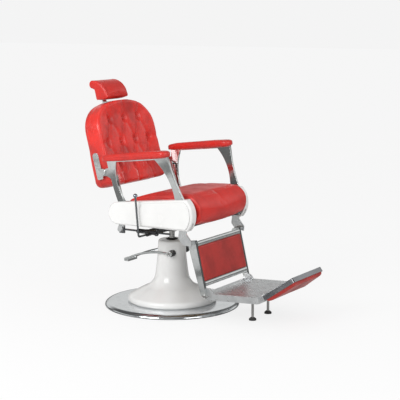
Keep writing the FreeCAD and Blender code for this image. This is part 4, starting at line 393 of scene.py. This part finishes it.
def dress(node, finish):
    """Put one finish on the whole of a carried-over node."""
    mesh = nodes[node].data
    mesh.materials.clear()
    mesh.materials.append(finish)
    for polygon in mesh.polygons:
        polygon.material_index = 0


for node, finish in FINISH_OF_NODE.items():
    dress(node, finish)


# Soft goods


def on_scene(name, data):
    made = bpy.data.objects.new(name, data)
    bpy.context.scene.collection.objects.link(made)
    return made


def final_mesh(piece):
    """The piece's mesh with its modifiers applied."""
    graph = bpy.context.evaluated_depsgraph_get()
    return bpy.data.meshes.new_from_object(piece.evaluated_get(graph))


def settle(piece):
    """Apply the piece's modifiers for good."""
    mesh = final_mesh(piece)
    piece.modifiers.clear()
    piece.data = mesh


def smooth_shade(mesh):
    for polygon in mesh.polygons:
        polygon.use_smooth = True


def merged(name, parts, outward=False):
    """One mesh from copies of others: pairs of a mesh and a move for its points, or None."""
    work = bmesh.new()
    for mesh, move in parts:
        start = len(work.verts)
        work.from_mesh(mesh)
        if move:
            work.verts.ensure_lookup_table()
            for vertex in work.verts[start:]:
                vertex.co = move(vertex.co)
    if outward:
        bmesh.ops.recalc_face_normals(work, faces=work.faces)
    made = bpy.data.meshes.new(name)
    work.to_mesh(made)
    work.free()
    return made


def joined_copy(name, parts):
    """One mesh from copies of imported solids: each a node's name, or its name and a move."""
    pairs = [part if isinstance(part, tuple) else (part, None) for part in parts]
    return merged(name, [(nodes[node].data, move) for node, move in pairs])


def remeshed(name, parts, voxel):
    """A closed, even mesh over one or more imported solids."""
    piece = on_scene(name, joined_copy(name, parts))
    modifier = piece.modifiers.new("even", "REMESH")
    modifier.mode = "VOXEL"
    modifier.voxel_size = voxel
    settle(piece)
    return piece


def pull_in(piece, distance):
    """Draw each point in along its normal, so that the stuffing has room to swell."""
    mesh = piece.data
    moves = [vertex.normal * distance for vertex in mesh.vertices]
    for vertex, move in zip(mesh.vertices, moves):
        vertex.co -= move


def relax(piece, steps, plump=0.0):
    """Smooth the piece, then push its skin out again to make up for what it shrank."""
    modifier = piece.modifiers.new("relax", "SMOOTH")
    modifier.factor = 0.5
    modifier.iterations = steps
    settle(piece)
    if plump:
        pull_in(piece, -plump)


SWELL_FRAMES = 20


def make_cloth(piece, pressure, held):
    """Turn the piece into cloth blown up from inside, held fast where the test says."""
    pins = piece.vertex_groups.new(name="held")
    fast = [vertex.index for vertex in piece.data.vertices if held(vertex.co)]
    pins.add(fast, 1.0, "REPLACE")
    modifier = piece.modifiers.new("stuffing", "CLOTH")
    settings = modifier.settings
    settings.quality = 5
    settings.mass = 0.3
    settings.tension_stiffness = 22.0
    settings.compression_stiffness = 22.0
    settings.shear_stiffness = 9.0
    settings.bending_stiffness = 1.2
    settings.use_pressure = True
    settings.uniform_pressure_force = pressure
    settings.vertex_group_mass = "held"
    settings.effector_weights.gravity = 0.0
    modifier.point_cache.frame_start = 1
    modifier.point_cache.frame_end = SWELL_FRAMES


def swell(stuffed):
    """Run the stuffing of all the pieces together, then cap how far each point has moved."""
    before = {piece.name: [vertex.co.copy() for vertex in piece.data.vertices] for piece, _ in stuffed}
    scene = bpy.context.scene
    for step in range(1, SWELL_FRAMES + 1):
        scene.frame_set(step)
    results = [(piece, cap, final_mesh(piece)) for piece, cap in stuffed]
    for piece, cap, mesh in results:
        for vertex, start in zip(mesh.vertices, before[piece.name]):
            move = vertex.co - start
            if move.length > cap:
                vertex.co = start + move * (cap / move.length)
        piece.modifiers.clear()
        piece.data = mesh
    scene.frame_set(1)


def fit_within(piece, low, high):
    """Keep every point between two corners, where harder pieces stop the swelling."""
    for vertex in piece.data.vertices:
        for axis in range(3):
            vertex.co[axis] = min(max(vertex.co[axis], low[axis]), high[axis])


def upholster(piece, finish, node_names, body):
    """Finish a soft piece: subdivide, shade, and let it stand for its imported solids."""
    modifier = piece.modifiers.new("round", "SUBSURF")
    modifier.levels = 1
    modifier.render_levels = 1
    piece.data.materials.clear()
    piece.data.materials.append(finish)
    smooth_shade(piece.data)
    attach(piece, body)
    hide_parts(*node_names)


def along_back(point):
    """A point in the backrest's own frame: across, out of the board and up the back."""
    y, z = point.y - BACK_PIVOT.y, point.z - BACK_PIVOT.z
    sine, cosine = math.sin(BACK_TILT), math.cos(BACK_TILT)
    return Vector((point.x, y * cosine - z * sine, y * sine + z * cosine))


def from_back(point):
    sine, cosine = math.sin(BACK_TILT), math.cos(BACK_TILT)
    return Vector((point.x, BACK_PIVOT.y + point.y * cosine + point.z * sine,
                   BACK_PIVOT.z - point.y * sine + point.z * cosine))


# The tufted back

BACK_FACE = -11 * MM
BACK_HALF = 251 * MM
BACK_REAR = 98 * MM
BACK_TOP = 360 * MM
BACK_FOOT = -72 * MM
BACK_MIDDLE = 144 * MM
BACK_CORNER = 140 * MM
SHELL_CORE = 55 * MM
SHELL_SLIM = 0.28
SHELL_DEEP = 0.5
SHELL_BROAD = 0.035
BUTTON_PITCH = 122 * MM
BUTTON_ROWS = (
    (21 * MM, (-1.0, 0.0, 1.0)),
    (145 * MM, (-1.5, -0.5, 0.5, 1.5)),
    (266 * MM, (-1.0, 0.0, 1.0)),
)
BUTTONS = [(across * BUTTON_PITCH, height) for height, row in BUTTON_ROWS for across in row]
DISH = 15 * MM
PUFF = 11 * MM
PLEAT_WIDTH = 14 * MM
DIMPLE_DEPTH = 25 * MM
DIMPLE_WIDTH = 17 * MM


def ease(value, low, high):
    """A smooth rise from 0 at one value to 1 at another."""
    share = min(max((value - low) / (high - low), 0.0), 1.0)
    return share * share * (3 - 2 * share)


def pleats():
    """The folds that run from button to button, and out to the edge: (x, z, x, z, depth)."""
    lines = []
    for (x, z) in BUTTONS:
        for (other_x, other_z) in BUTTONS:
            beside = abs(abs(other_x - x) - BUTTON_PITCH / 2) < MM
            if beside and MM < other_z - z < 200 * MM:
                lines.append((x, z, other_x, other_z, 0.6))
    for (x, z) in BUTTONS:
        if z > 200 * MM:
            lines.append((x, z, x * 1.25, z + 90 * MM, 0.5))
        elif z < 60 * MM:
            lines.append((x, z, x * 1.12, z - 95 * MM, 0.85))
        elif abs(x) > BUTTON_PITCH:
            lines.append((x, z, x * 1.35, z, 0.45))
    return lines


PLEATS = pleats()


def distance_to_line(x, z, line):
    ax, az, bx, bz, _ = line
    run_x, run_z = bx - ax, bz - az
    share = ((x - ax) * run_x + (z - az) * run_z) / (run_x * run_x + run_z * run_z)
    share = min(max(share, 0.0), 1.0)
    return math.hypot(x - ax - run_x * share, z - az - run_z * share)


def tuft_height(x, z):
    """How far the face stands out at a place: dished, puffed between pleats, dimpled."""
    fold = 1.0
    for line in PLEATS:
        near = distance_to_line(x, z, line) / PLEAT_WIDTH
        fold = min(fold, 1.0 - line[4] * (0.65 * math.exp(-near * near) + 0.35 * math.exp(-3 * near)))
    inside = ease(BACK_HALF - abs(x), 0.0, 90 * MM) * ease(BACK_TOP - z, 0.0, 80 * MM)
    button = min(math.hypot(x - bx, (z - bz) * 0.85) for bx, bz in BUTTONS)
    return PUFF * fold - DISH * inside - DIMPLE_DEPTH * math.exp(-((button / DIMPLE_WIDTH) ** 2))


def tuft(piece):
    """Push the back's face out into its diamonds and pull it in at the buttons."""
    for vertex in piece.data.vertices:
        local = along_back(vertex.co)
        facing = min(max((16 * MM - local.y) / (20 * MM), 0.0), 1.0)
        if facing:
            local.y -= tuft_height(local.x, local.z) * facing * facing
            vertex.co = from_back(local)


def spread_board(point):
    """The board's edge, moved out until it lies under the hide that wraps round it."""
    local = along_back(point)
    return from_back(Vector((local.x * 1.018, local.y, BACK_MIDDLE + (local.z - BACK_MIDDLE) * 1.02)))


def from_outline(x, z):
    """How far inside the back's outline a place is."""
    past_x, past_z = abs(x) - (BACK_HALF - BACK_CORNER), z - (BACK_TOP - BACK_CORNER)
    if past_x > 0 and past_z > 0:
        return BACK_CORNER - math.hypot(past_x, past_z)
    return min(BACK_HALF - abs(x), BACK_TOP - z, z - BACK_FOOT)


def rear_half(point):
    """The cushion's own outline turned round, to form the shell's plain rear at its full depth."""
    local = along_back(point)
    depth = (local.y - BACK_FACE) * 0.98
    if depth < 36 * MM:
        depth *= 1 - ease(from_outline(local.x, local.z), 14 * MM, 50 * MM)
    return from_back(Vector((local.x, BACK_REAR - depth, local.z)))


def fair_back(local):
    """The shell's real lines: slim in front at the shoulders, deep behind at the foot."""
    slim = 1 - SHELL_SLIM * ease(local.z, BACK_FOOT, 100 * MM)
    deep = 1 + SHELL_DEEP * min(max((128 * MM - local.z) / (200 * MM), 0.0), 1.0)
    depth = local.y - SHELL_CORE
    broad = 1 + SHELL_BROAD * ease(local.z, 130 * MM, 290 * MM)
    return Vector((local.x * broad, SHELL_CORE + depth * (slim if depth < 0 else deep), local.z))


def fair(piece):
    """Give the shell its real lines and keep its crown clear of the headrest."""
    for vertex in piece.data.vertices:
        local = fair_back(along_back(vertex.co))
        local.z = min(local.z, BACK_TOP - 1 * MM)
        vertex.co = from_back(local)


def turned(name, profile, steps=24):
    """A round piece about Z from (radius, height) pairs."""
    mesh = bpy.data.meshes.new(name)
    work = bmesh.new()
    rings = []
    for radius, height in profile:
        if radius < 1e-6:
            rings.append([work.verts.new((0, 0, height))])
            continue
        turn = [2 * math.pi * step / steps for step in range(steps)]
        spots = [(radius * math.cos(a), radius * math.sin(a), height) for a in turn]
        rings.append([work.verts.new(spot) for spot in spots])
    for lower, upper in zip(rings, rings[1:]):
        for step in range(steps):
            after = (step + 1) % steps
            corners = [lower[step % len(lower)], lower[after % len(lower)],
                       upper[after % len(upper)], upper[step % len(upper)]]
            unique = list(dict.fromkeys(corners))
            if len(unique) > 2:
                work.faces.new(unique)
    bmesh.ops.recalc_face_normals(work, faces=work.faces)
    work.to_mesh(mesh)
    work.free()
    return mesh


def tuft_buttons():
    """Ten cloth-covered buttons, domed, with a rolled rim, each deep in its dimple."""
    radius = 9 * MM
    profile = [(0.0, 5.0 * MM), (radius * 0.45, 4.5 * MM), (radius * 0.8, 3.0 * MM),
               (radius, 1.2 * MM), (radius * 1.02, -0.6 * MM), (radius * 0.9, -2.5 * MM),
               (0.0, -2.5 * MM)]
    dome = turned("button_dome", profile)

    def seated(across, height):
        level = BACK_FACE - tuft_height(across, height) * 0.74

        def move(point):
            spot = Vector((across + point.x, level - point.z, height + point.y))
            return from_back(fair_back(spot))
        return move

    mesh = merged("tuft_buttons", [(dome, seated(*button)) for button in BUTTONS], outward=True)
    return on_scene("tuft_buttons", mesh)


# Welts, seams and stitches


def skin_of(piece):
    """The piece's finished skin as a tree that rays can be cast at."""
    mesh = final_mesh(piece)
    return BVHTree.FromPolygons([vertex.co for vertex in mesh.vertices],
                                [polygon.vertices for polygon in mesh.polygons])


def girdle(skin, centre, first, second, steps, sink=0.0):
    """Points on a skin round a centre, in the plane of two directions."""
    points = []
    for step in range(steps):
        angle = 2 * math.pi * (step / steps)
        way = (first * math.cos(angle) + second * math.sin(angle)).normalized()
        hit = skin.ray_cast(centre + way * 2.0, -way)
        if hit[0] is not None:
            points.append(hit[0] + hit[1] * (-sink))
    return points


def cord_curve(name, points, radius, closed, finish):
    """A round cord through a line of points."""
    curve = bpy.data.curves.new(name, "CURVE")
    curve.dimensions = "3D"
    curve.bevel_depth = radius
    curve.bevel_resolution = 3
    spline = curve.splines.new("NURBS")
    spline.points.add(len(points) - 1)
    for spot, point in zip(spline.points, points):
        spot.co = (*point, 1.0)
    spline.order_u = 3
    spline.use_cyclic_u = closed
    spline.use_endpoint_u = not closed
    curve.materials.append(finish)
    return on_scene(name, curve)


def welt(name, points, radius, body):
    """A covered cord sewn round a closed line of points."""
    piece = cord_curve(name, points, radius, True, RED_WELT)
    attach(piece, body)


STITCH_PITCH = 7 * MM
STITCH_LENGTH = 4.2 * MM
THREAD_RADIUS = 0.45 * MM
# A stitch's rings: place along it, width and height, the last two in thread radii.
STITCH_RINGS = ((-0.5, 0.35, -1.2), (-0.36, 0.9, 0.2), (0.0, 1.0, 0.5), (0.36, 0.9, 0.2),
                (0.5, 0.35, -1.2))


def stitches(name, points, skin, body):
    """A row of short threads laid on the skin along a line of points."""
    work = bmesh.new()
    walked, due = 0.0, 0.0
    for start, stop in zip(points, points[1:]):
        run = (stop - start).length
        while due < walked + run:
            middle = start.lerp(stop, (due - walked) / run)
            near, normal, _, _ = skin.find_nearest(middle)
            if near is not None:
                lifted = near + normal * THREAD_RADIUS * 0.4
                thread_between(work, lifted, (stop - start).normalized(), normal)
            due += STITCH_PITCH
        walked += run
    mesh = bpy.data.meshes.new(name)
    work.to_mesh(mesh)
    work.free()
    mesh.materials.append(RED_THREAD)
    piece = on_scene(name, mesh)
    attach(piece, body)


def thread_between(work, middle, along, normal):
    """One stitch: a short six-sided thread that dives into the hide at both ends."""
    side = along.cross(normal).normalized()
    rings = []
    turn = [math.pi * step / 3 for step in range(6)]
    for share, width, dip in STITCH_RINGS:
        centre = middle + along * STITCH_LENGTH * share + normal * THREAD_RADIUS * dip
        spokes = [side * math.cos(a) + normal * math.sin(a) for a in turn]
        rings.append([work.verts.new(centre + spoke * THREAD_RADIUS * width) for spoke in spokes])
    for lower, upper in zip(rings, rings[1:]):
        for step in range(6):
            work.faces.new((lower[step], lower[(step + 1) % 6], upper[(step + 1) % 6], upper[step]))
    work.faces.new(rings[0][::-1])
    work.faces.new(rings[-1])


# Making the soft goods


def seat_held(box):
    low, high = box

    def held(point):
        return point.z < low.z + 30 * MM and point.y > low.y + 60 * MM or point.y > high.y - 3 * MM
    return held


def never_held(point):
    return False


ARM_TILT = math.radians(4.6)
ARM_SLOPE = math.tan(ARM_TILT)
SEAT_FALL = 15 * MM


def lay_flat(pad, low, high):
    """Keep an arm pad's underside on the arm and its crown low, along the arm's slope."""
    for vertex in pad.data.vertices:
        spot = vertex.co
        under = low.z + (high.y - spot.y) * ARM_SLOPE
        over = high.z - (spot.y - low.y) * ARM_SLOPE
        spot.z = min(max(spot.z, under + 1 * MM), over + 2 * MM)


def slope_seat(piece, low, high):
    """Let the cushion fall away towards the back, where the sitter's weight has packed it."""
    for vertex in piece.data.vertices:
        share = max((vertex.co.z - low.z) / (high.z - low.z), 0.0)
        vertex.co.z -= SEAT_FALL * share * ease(vertex.co.y, -40 * MM, high.y)


seat_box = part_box("seat_cushion")
seat_pad = remeshed("seat_pad", ["seat_cushion"], 6 * MM)
back_parts = ["back_cushion", ("back_board", spread_board), ("back_cushion", rear_half)]
back_pad = remeshed("back_pad", back_parts, 4.5 * MM)
head_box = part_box("headrest_pillow")
head_pad = remeshed("head_pad", ["headrest_pillow"], 4 * MM)
arm_pads = {side: remeshed(f"arm_pad_{side}", [f"armrest_pad_{side}"], 4 * MM)
            for side in ("left", "right")}
calf_pad = remeshed("calf_pad", ["calf_panel"], 4 * MM)
flap_cushion = remeshed("flap_cushion", ["flap_pad"], 4 * MM)

pull_in(seat_pad, 5 * MM)
pull_in(head_pad, 4 * MM)
make_cloth(seat_pad, 4.0, seat_held(seat_box))
make_cloth(head_pad, 4.0, never_held)
stuffed = [(seat_pad, 9 * MM), (head_pad, 5 * MM)]
for pad in arm_pads.values():
    pull_in(pad, 3 * MM)
    make_cloth(pad, 5.0, never_held)
    stuffed.append((pad, 6 * MM))
pull_in(flap_cushion, 2 * MM)
make_cloth(flap_cushion, 3.5, never_held)
stuffed.append((flap_cushion, 4 * MM))
swell(stuffed)

relax(seat_pad, 6)
slope_seat(seat_pad, *seat_box)
relax(head_pad, 8, plump=0.6 * MM)
fit_within(head_pad, *head_box)
relax(calf_pad, 3)
relax(flap_cushion, 4)
for side, pad in arm_pads.items():
    relax(pad, 14, plump=1.6 * MM)
    lay_flat(pad, *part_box(f"armrest_pad_{side}"))
relax(back_pad, 8, plump=2.5 * MM)
tuft(back_pad)
fair(back_pad)
relax(back_pad, 2)

fit_within(seat_pad, seat_box[0], seat_box[1] + Vector((0, 0, 8 * MM)))

upholster(seat_pad, RED_HIDE, ["seat_cushion"], "seat")
upholster(back_pad, RED_TUFTED, ["back_cushion", "back_rear_cover"], "backrest")
upholster(head_pad, RED_HIDE, ["headrest_pillow"], "headrest")
for side, pad in arm_pads.items():
    upholster(pad, RED_ARMS, [f"armrest_pad_{side}"], "seat")
# The calf pad and the toe flap take the darker copy of the hide, with its painted shade.
upholster(calf_pad, RED_HIDE_PAINTED_SHADE, ["calf_panel"], "legrest")
upholster(flap_cushion, RED_HIDE_PAINTED_SHADE, ["flap_pad"], "toe_flap")

buttons = tuft_buttons()
buttons.data.materials.append(RED_WELT)
smooth_shade(buttons.data)
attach(buttons, "backrest")
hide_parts("back_buttons")


LEVEL, UPRIGHT = Vector((0, 1, 0)), Vector((0, 0, 1))


def sew_cushion(name, piece, box, inset, centre, body, radius):
    """A welt round each end of a cushion, with a row of stitches beside it."""
    skin = skin_of(piece)
    for side, across in (("right", box[0].x + inset), ("left", box[1].x - inset)):
        middle = Vector((across, centre.y, centre.z))
        line = girdle(skin, middle, LEVEL, UPRIGHT, 120, radius * 0.2)
        welt(f"{name}_welt_{side}", line, radius, body)
        inward = 9 * MM if side == "right" else -9 * MM
        row = girdle(skin, middle + Vector((inward, 0, 0)), LEVEL, UPRIGHT, 160)
        stitches(f"{name}_stitches_{side}", row + row[:1], skin, body)


seat_centre = (seat_box[0] + seat_box[1]) / 2 + Vector((0, 0, -10 * MM))
sew_cushion("seat", seat_pad, seat_box, 10 * MM, seat_centre, "seat", 1.8 * MM)
head_centre = (head_box[0] + head_box[1]) / 2
sew_cushion("head", head_pad, head_box, 6 * MM, head_centre, "headrest", 1.5 * MM)


def sew_arm_pad(side, pad):
    """The seam along the pad's lower edge, where the hide turns under."""
    low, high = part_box(f"armrest_pad_{side}")
    middle = (low + high) / 2
    along = Vector((0, math.cos(ARM_TILT), -math.sin(ARM_TILT)))
    skin = skin_of(pad)
    points = girdle(skin, middle - Vector((0, 0, 3 * MM)), Vector((1, 0, 0)), along, 140, 0.6 * MM)
    welt(f"arm_seam_{side}", points, 1.2 * MM, "seat")


for side, pad in arm_pads.items():
    sew_arm_pad(side, pad)

back_middle = Vector((0, 78 * MM, BACK_MIDDLE))
back_across = Vector((1, 0, 0))
back_upward = from_back(Vector((0, 0, 1))) - from_back(Vector((0, 0, 0)))
back_skin = skin_of(back_pad)
rear_seam = girdle(back_skin, from_back(back_middle), back_across, back_upward, 220, 0.8 * MM)
welt("back_rear_welt", rear_seam, 2.2 * MM, "backrest")


# Panels, pedestal and bushes


def reshaped(name, node, finish, body, move):
    """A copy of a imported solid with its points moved, which then stands for the solid."""
    piece = on_scene(name, joined_copy(name, [(node, move)]))
    piece.data.materials.append(finish)
    for polygon in piece.data.polygons:
        polygon.use_smooth = False
    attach(piece, body)
    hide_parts(node)
    return piece


PANEL_FACE = 284 * MM
PANEL_NOSE = -321 * MM
NOSE_WANTED = -297 * MM
NOSE_START = -200 * MM
NOSE_SHARE = (NOSE_WANTED - NOSE_START) / (PANEL_NOSE - NOSE_START)
PANEL_PROUDER = 1.9


def shape_panel(point):
    """A shorter nose, and a front half that stands prouder."""
    spot = point.copy()
    if spot.y < NOSE_START:
        spot.y = NOSE_START + (spot.y - NOSE_START) * NOSE_SHARE
    reach = abs(spot.x)
    if reach > PANEL_FACE:
        spot.x = math.copysign(PANEL_FACE + (reach - PANEL_FACE) * PANEL_PROUDER, spot.x)
    return spot


for side in ("left", "right"):
    reshaped(f"panel_{side}", f"side_panel_{side}", WHITE_ENAMEL, "seat", shape_panel)


def arc(first, through, last, steps=10):
    """Points on the circle through three (radius, height) places, from the first to the last."""
    (ax, ay), (bx, by), (cx, cy) = first, through, last
    twice = 2 * (ax * (by - cy) + bx * (cy - ay) + cx * (ay - by))
    a, b, c = ax * ax + ay * ay, bx * bx + by * by, cx * cx + cy * cy
    x = (a * (by - cy) + b * (cy - ay) + c * (ay - by)) / twice
    y = (a * (cx - bx) + b * (ax - cx) + c * (bx - ax)) / twice
    radius = math.hypot(ax - x, ay - y)
    start, stop = math.atan2(ay - y, ax - x), math.atan2(cy - y, cx - x)
    turn = (stop - start + math.pi) % (2 * math.pi) - math.pi
    angles = [start + turn * step / steps for step in range(steps + 1)]
    return [(x + radius * math.cos(angle), y + radius * math.sin(angle)) for angle in angles]


def pedestal_profile():
    """The enamelled pedestal's side, from the disc up: foot, concave flare, column, shoulder."""
    foot, floor_up, waist, flare, neck, top = 0.230, 0.022, 0.086, 0.060, 0.0712, 0.346
    profile = arc((foot - 0.008, floor_up), (foot - 0.001, floor_up + 0.006), (foot, floor_up + 0.015))
    profile += arc((foot, floor_up + 0.015), (foot - 0.004, floor_up + 0.027),
                   (foot - 0.016, floor_up + 0.035))[1:]
    profile += arc((waist + flare, floor_up + 0.072), (waist + 0.0192, floor_up + 0.0996),
                   (waist, 0.168), 18)
    profile += arc((waist, 0.168), (neck + 0.0089, 0.215), (neck + 0.0038, 0.262))[1:]
    profile += arc((neck + 0.0038, 0.262), (neck + 0.0025, 0.296), (neck, top - 0.014))[1:]
    profile += arc((neck, top - 0.014), (neck - 0.004, top - 0.004), (neck - 0.014, top))[1:]
    return profile + [(0.040, top), (0.026, top - 0.001), (0.0255, top - 0.006)]


def disc_profile():
    """The chrome disc's top: flat, then a rim that rolls down past the rubber ring and hides it."""
    top, edge, reach, wide = 0.022, 0.005, 0.350, 0.028
    turn = [math.pi / 2 * step / 14 for step in range(15)]
    roll = [(reach - wide + wide * math.sin(a), edge + (top - edge) * math.cos(a)) for a in turn]
    lip = [(reach - 0.001, 0.003), (reach - 0.005, 0.0015), (0.336, 0.0012)]
    return [(0.060, top), (0.300, top)] + roll + lip


disc = on_scene("disc_shell", turned("disc_shell", disc_profile(), 192))
smooth_shade(disc.data)
disc.data.materials.append(DISC_CHROME)
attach(disc, "base")
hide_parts("base_plate")

pedestal = on_scene("pedestal_shell", turned("pedestal_shell", pedestal_profile(), 128))
smooth_shade(pedestal.data)
pedestal.data.materials.append(WHITE_ENAMEL)
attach(pedestal, "base")
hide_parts("pedestal_cover")


def lever_hubs():
    """The black hubs in the pedestal that the pump shaft turns in: stepped, with a rounded lip."""
    low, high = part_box("lever_bushes")
    middle = (low + high) / 2
    radius = (high.z - low.z) / 2
    profile = [(0.0085, 0.060), (0.0085, 0.079), (0.0105, 0.0795), (radius * 0.72, 0.079),
               (radius * 0.76, 0.0765), (radius * 0.93, 0.0765), (radius * 0.99, 0.0755),
               (radius, 0.0735), (radius, 0.056)]
    hub = turned("lever_hub", profile, 48)

    def facing(side):
        return lambda point: Vector((side * point.z, middle.y + point.x, middle.z + point.y))

    mesh = merged("lever_hubs", [(hub, facing(side)) for side in (-1, 1)], outward=True)
    smooth_shade(mesh)
    mesh.materials.append(BLACK_NYLON)
    return on_scene("lever_hubs", mesh)


hubs = lever_hubs()
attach(hubs, "base")
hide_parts("lever_bushes")


# The lock's spring


def coil_points(centre, length, radius, turns):
    """A helix along Y with closed ends."""
    steps = 16
    points = []
    for step in range(int(turns * steps) + 1):
        share = step / (turns * steps)
        angle = 2 * math.pi * turns * share
        if share < 0.06:
            place = 0.03 + share * 0.5
        elif share > 0.94:
            place = 0.47 + share * 0.5
        else:
            place = share
        offset = (radius * math.cos(angle), length * (place - 0.5), radius * math.sin(angle))
        points.append(centre + Vector(offset))
    return points


spring_low, spring_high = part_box("lock_spring")
spring_middle = (spring_low + spring_high) / 2
spring_radius = (spring_high.x - spring_low.x) / 2
coils = coil_points(spring_middle, spring_high.y - spring_low.y, spring_radius, 8)
lock_coil = cord_curve("lock_coil", coils, 2.1 * MM, False, BLACK_SPRING)
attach(lock_coil, "seat")
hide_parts("lock_spring")


# Floor, light and camera


def seen_by(tree, eye_shader, mirror_shader, other_shader):
    """One shader for the eye, one for mirrors and glass, and one for light that bounces."""
    path = shader_node(tree, "LightPath").outputs
    mirrored = maths(tree, "MAXIMUM", path["Is Glossy Ray"], path["Is Transmission Ray"])
    unseen = shader_node(tree, "MixShader", inputs={
        0: mirrored, 1: other_shader, 2: mirror_shader}).outputs[0]
    return shader_node(tree, "MixShader", inputs={
        0: path["Is Camera Ray"], 1: unseen, 2: eye_shader}).outputs[0]


def grey_ramp(tree, value, stops):
    """A smooth run of greys over a value, from (position, level) stops."""
    ramp = shader_node(tree, "ValToRGB", inputs={0: value})
    elements = ramp.color_ramp.elements
    elements[0].position, elements[1].position = stops[0][0], stops[-1][0]
    for position, level in stops[1:-1]:
        elements.new(position)
    for element, (position, level) in zip(elements, stops):
        element.position = position
        element.color = (level, level * 1.01, level, 1)
    return ramp.outputs[0]


# What mirrors see, as (position, level) stops: over distance, across screens and up the walls.
FLOOR_GREYS = ((0.0, 0.44), (0.2, 0.7), (0.6, 0.8), (1.0, 0.7))
SCREEN_GREYS = ((0.0, 0.04), (0.22, 0.07), (0.32, 0.34), (1.0, 0.46))
WALL_GREYS = ((0.0, 0.08), (0.03, 0.1), (0.055, 0.6), (0.28, 0.74), (0.38, 0.45), (0.52, 0.1),
              (0.9, 0.08), (1.0, 0.3))


def mirrored_floor(tree):
    """What chrome sees below it: pale close by, greyer far off, dark with black screens in front."""
    place = shader_node(tree, "NewGeometry").outputs["Position"]
    parts = shader_node(tree, "SeparateXYZ", inputs={0: place}).outputs
    distance = shader_node(tree, "VectorMath", operation="LENGTH", inputs={0: place}).outputs["Value"]
    open_floor = grey_ramp(tree, remap(tree, distance, 0.6, 6.0, 0.0, 1.0), FLOOR_GREYS)
    screens = shader_node(tree, "TexWave", wave_type="BANDS", bands_direction="X", inputs={
        "Vector": place, "Scale": 0.55, "Distortion": 2.0, "Detail": 1.0}).outputs["Fac"]
    dim = grey_ramp(tree, screens, SCREEN_GREYS)
    patches = remap(tree, noise(tree, place, 1.6, 1.0), 0.54, 0.6, 1.0, 0.3)
    open_floor = shader_node(tree, "VectorMath", operation="SCALE", inputs={
        0: open_floor, "Scale": patches}).outputs[0]
    in_front = maths(tree, "MULTIPLY", remap(tree, parts["X"], 0.5, 1.2, 0.0, 1.0),
                     remap(tree, parts["Y"], -0.2, -1.0, 0.0, 1.0))
    return shader_node(tree, "Mix", data_type="RGBA", inputs={
        0: in_front, 6: open_floor, 7: dim}).outputs[2]


def floor():
    size = 40.0
    mesh = bpy.data.meshes.new("floor")
    corners = [(-size, -size, 0), (size, -size, 0), (size, size, 0), (-size, size, 0)]
    drop = Vector((0, 0, 0.2 * MM))
    mesh.from_pydata([Vector(corner) - drop for corner in corners], [], [(0, 1, 2, 3)])
    plane = on_scene("floor", mesh)
    material = bpy.data.materials.new("pale_floor")
    material.use_nodes = True
    tree = material.node_tree
    tree.nodes.clear()
    glow = shader_node(tree, "Emission", inputs={
        "Color": (0.90, 0.90, 0.90, 1), "Strength": 0.88}).outputs[0]
    dull = shader_node(tree, "BsdfDiffuse", inputs={"Color": (0.16, 0.16, 0.16, 1)}).outputs[0]
    plain = shader_node(tree, "BsdfDiffuse", inputs={"Color": (0.68, 0.68, 0.68, 1)}).outputs[0]
    eye = shader_node(tree, "AddShader", inputs={0: glow, 1: dull}).outputs[0]
    mirror = shader_node(tree, "Emission", inputs={
        "Color": mirrored_floor(tree), "Strength": 1.0}).outputs[0]
    out = shader_node(tree, "OutputMaterial")
    link(tree, seen_by(tree, eye, mirror, plain), out.inputs["Surface"])
    mesh.materials.append(material)


def surroundings():
    """A pale room for the eye; for the chrome, a dim foot to the walls and dark screens between."""
    world = bpy.data.worlds.new("studio")
    bpy.context.scene.world = world
    world.use_nodes = True
    tree = world.node_tree
    tree.nodes.clear()
    way = shader_node(tree, "TexCoord").outputs["Generated"]
    parts = shader_node(tree, "SeparateXYZ", inputs={0: way}).outputs
    walls = grey_ramp(tree, remap(tree, parts["Z"], 0.0, 1.0, 0.0, 1.0), WALL_GREYS)
    bearing = maths(tree, "ARCTAN2", parts["X"], parts["Y"])
    wave = maths(tree, "SINE", maths(tree, "ADD", maths(tree, "MULTIPLY", bearing, 5.0), 0.9))
    screens = remap(tree, wave, 0.55, 0.8, 1.0, 0.22)
    low_down = remap(tree, parts["Z"], 0.35, 0.6, 1.0, 0.0)
    shade = maths(tree, "ADD", maths(tree, "MULTIPLY", screens, low_down),
                  maths(tree, "SUBTRACT", 1.0, low_down))
    dimmed = shader_node(tree, "VectorMath", operation="SCALE", inputs={
        0: walls, "Scale": shade}).outputs[0]
    room = shader_node(tree, "Background", inputs={0: dimmed, 1: 1.0}).outputs[0]
    pale = shader_node(tree, "Background", inputs={0: (0.905, 0.905, 0.905, 1), 1: 1.0}).outputs[0]
    plain = shader_node(tree, "Background", inputs={0: (0.8, 0.8, 0.8, 1), 1: 1.0}).outputs[0]
    out = shader_node(tree, "OutputWorld")
    link(tree, seen_by(tree, pale, room, plain), out.inputs["Surface"])


def soft_box(name, place, target, width, height, power):
    data = bpy.data.lights.new(name, "AREA")
    data.shape = "RECTANGLE"
    data.size = width
    data.size_y = height
    data.energy = power
    lamp = on_scene(name, data)
    lamp.location = place
    lamp.rotation_euler = (Vector(target) - Vector(place)).to_track_quat("-Z", "Y").to_euler()


def camera():
    """The photograph's own camera: a long lens, a little above the seat."""
    azimuth, elevation = math.radians(-58.5438), math.radians(8.816)
    data = bpy.data.cameras.new("camera")
    data.lens = 109.95
    data.sensor_width = 36.0
    data.clip_end = 100.0
    eye = on_scene("camera", data)
    eye.location = (-5.23972, -3.37602, 1.5151)
    away = Vector((math.sin(azimuth) * math.cos(elevation), -math.cos(azimuth) * math.cos(elevation),
                   math.sin(elevation)))
    eye.rotation_euler = away.to_track_quat("Z", "Y").to_euler()
    bpy.context.scene.camera = eye


floor()
surroundings()
soft_box("key", (-4.2, 0.6, 2.6), (0, 0, 0.7), 2.4, 2.2, 98)
soft_box("front", (-1.5, -4.2, 2.4), (0, 0, 0.6), 2.4, 2.0, 42)
camera()

bpy.context.scene.view_settings.view_transform = "Standard"
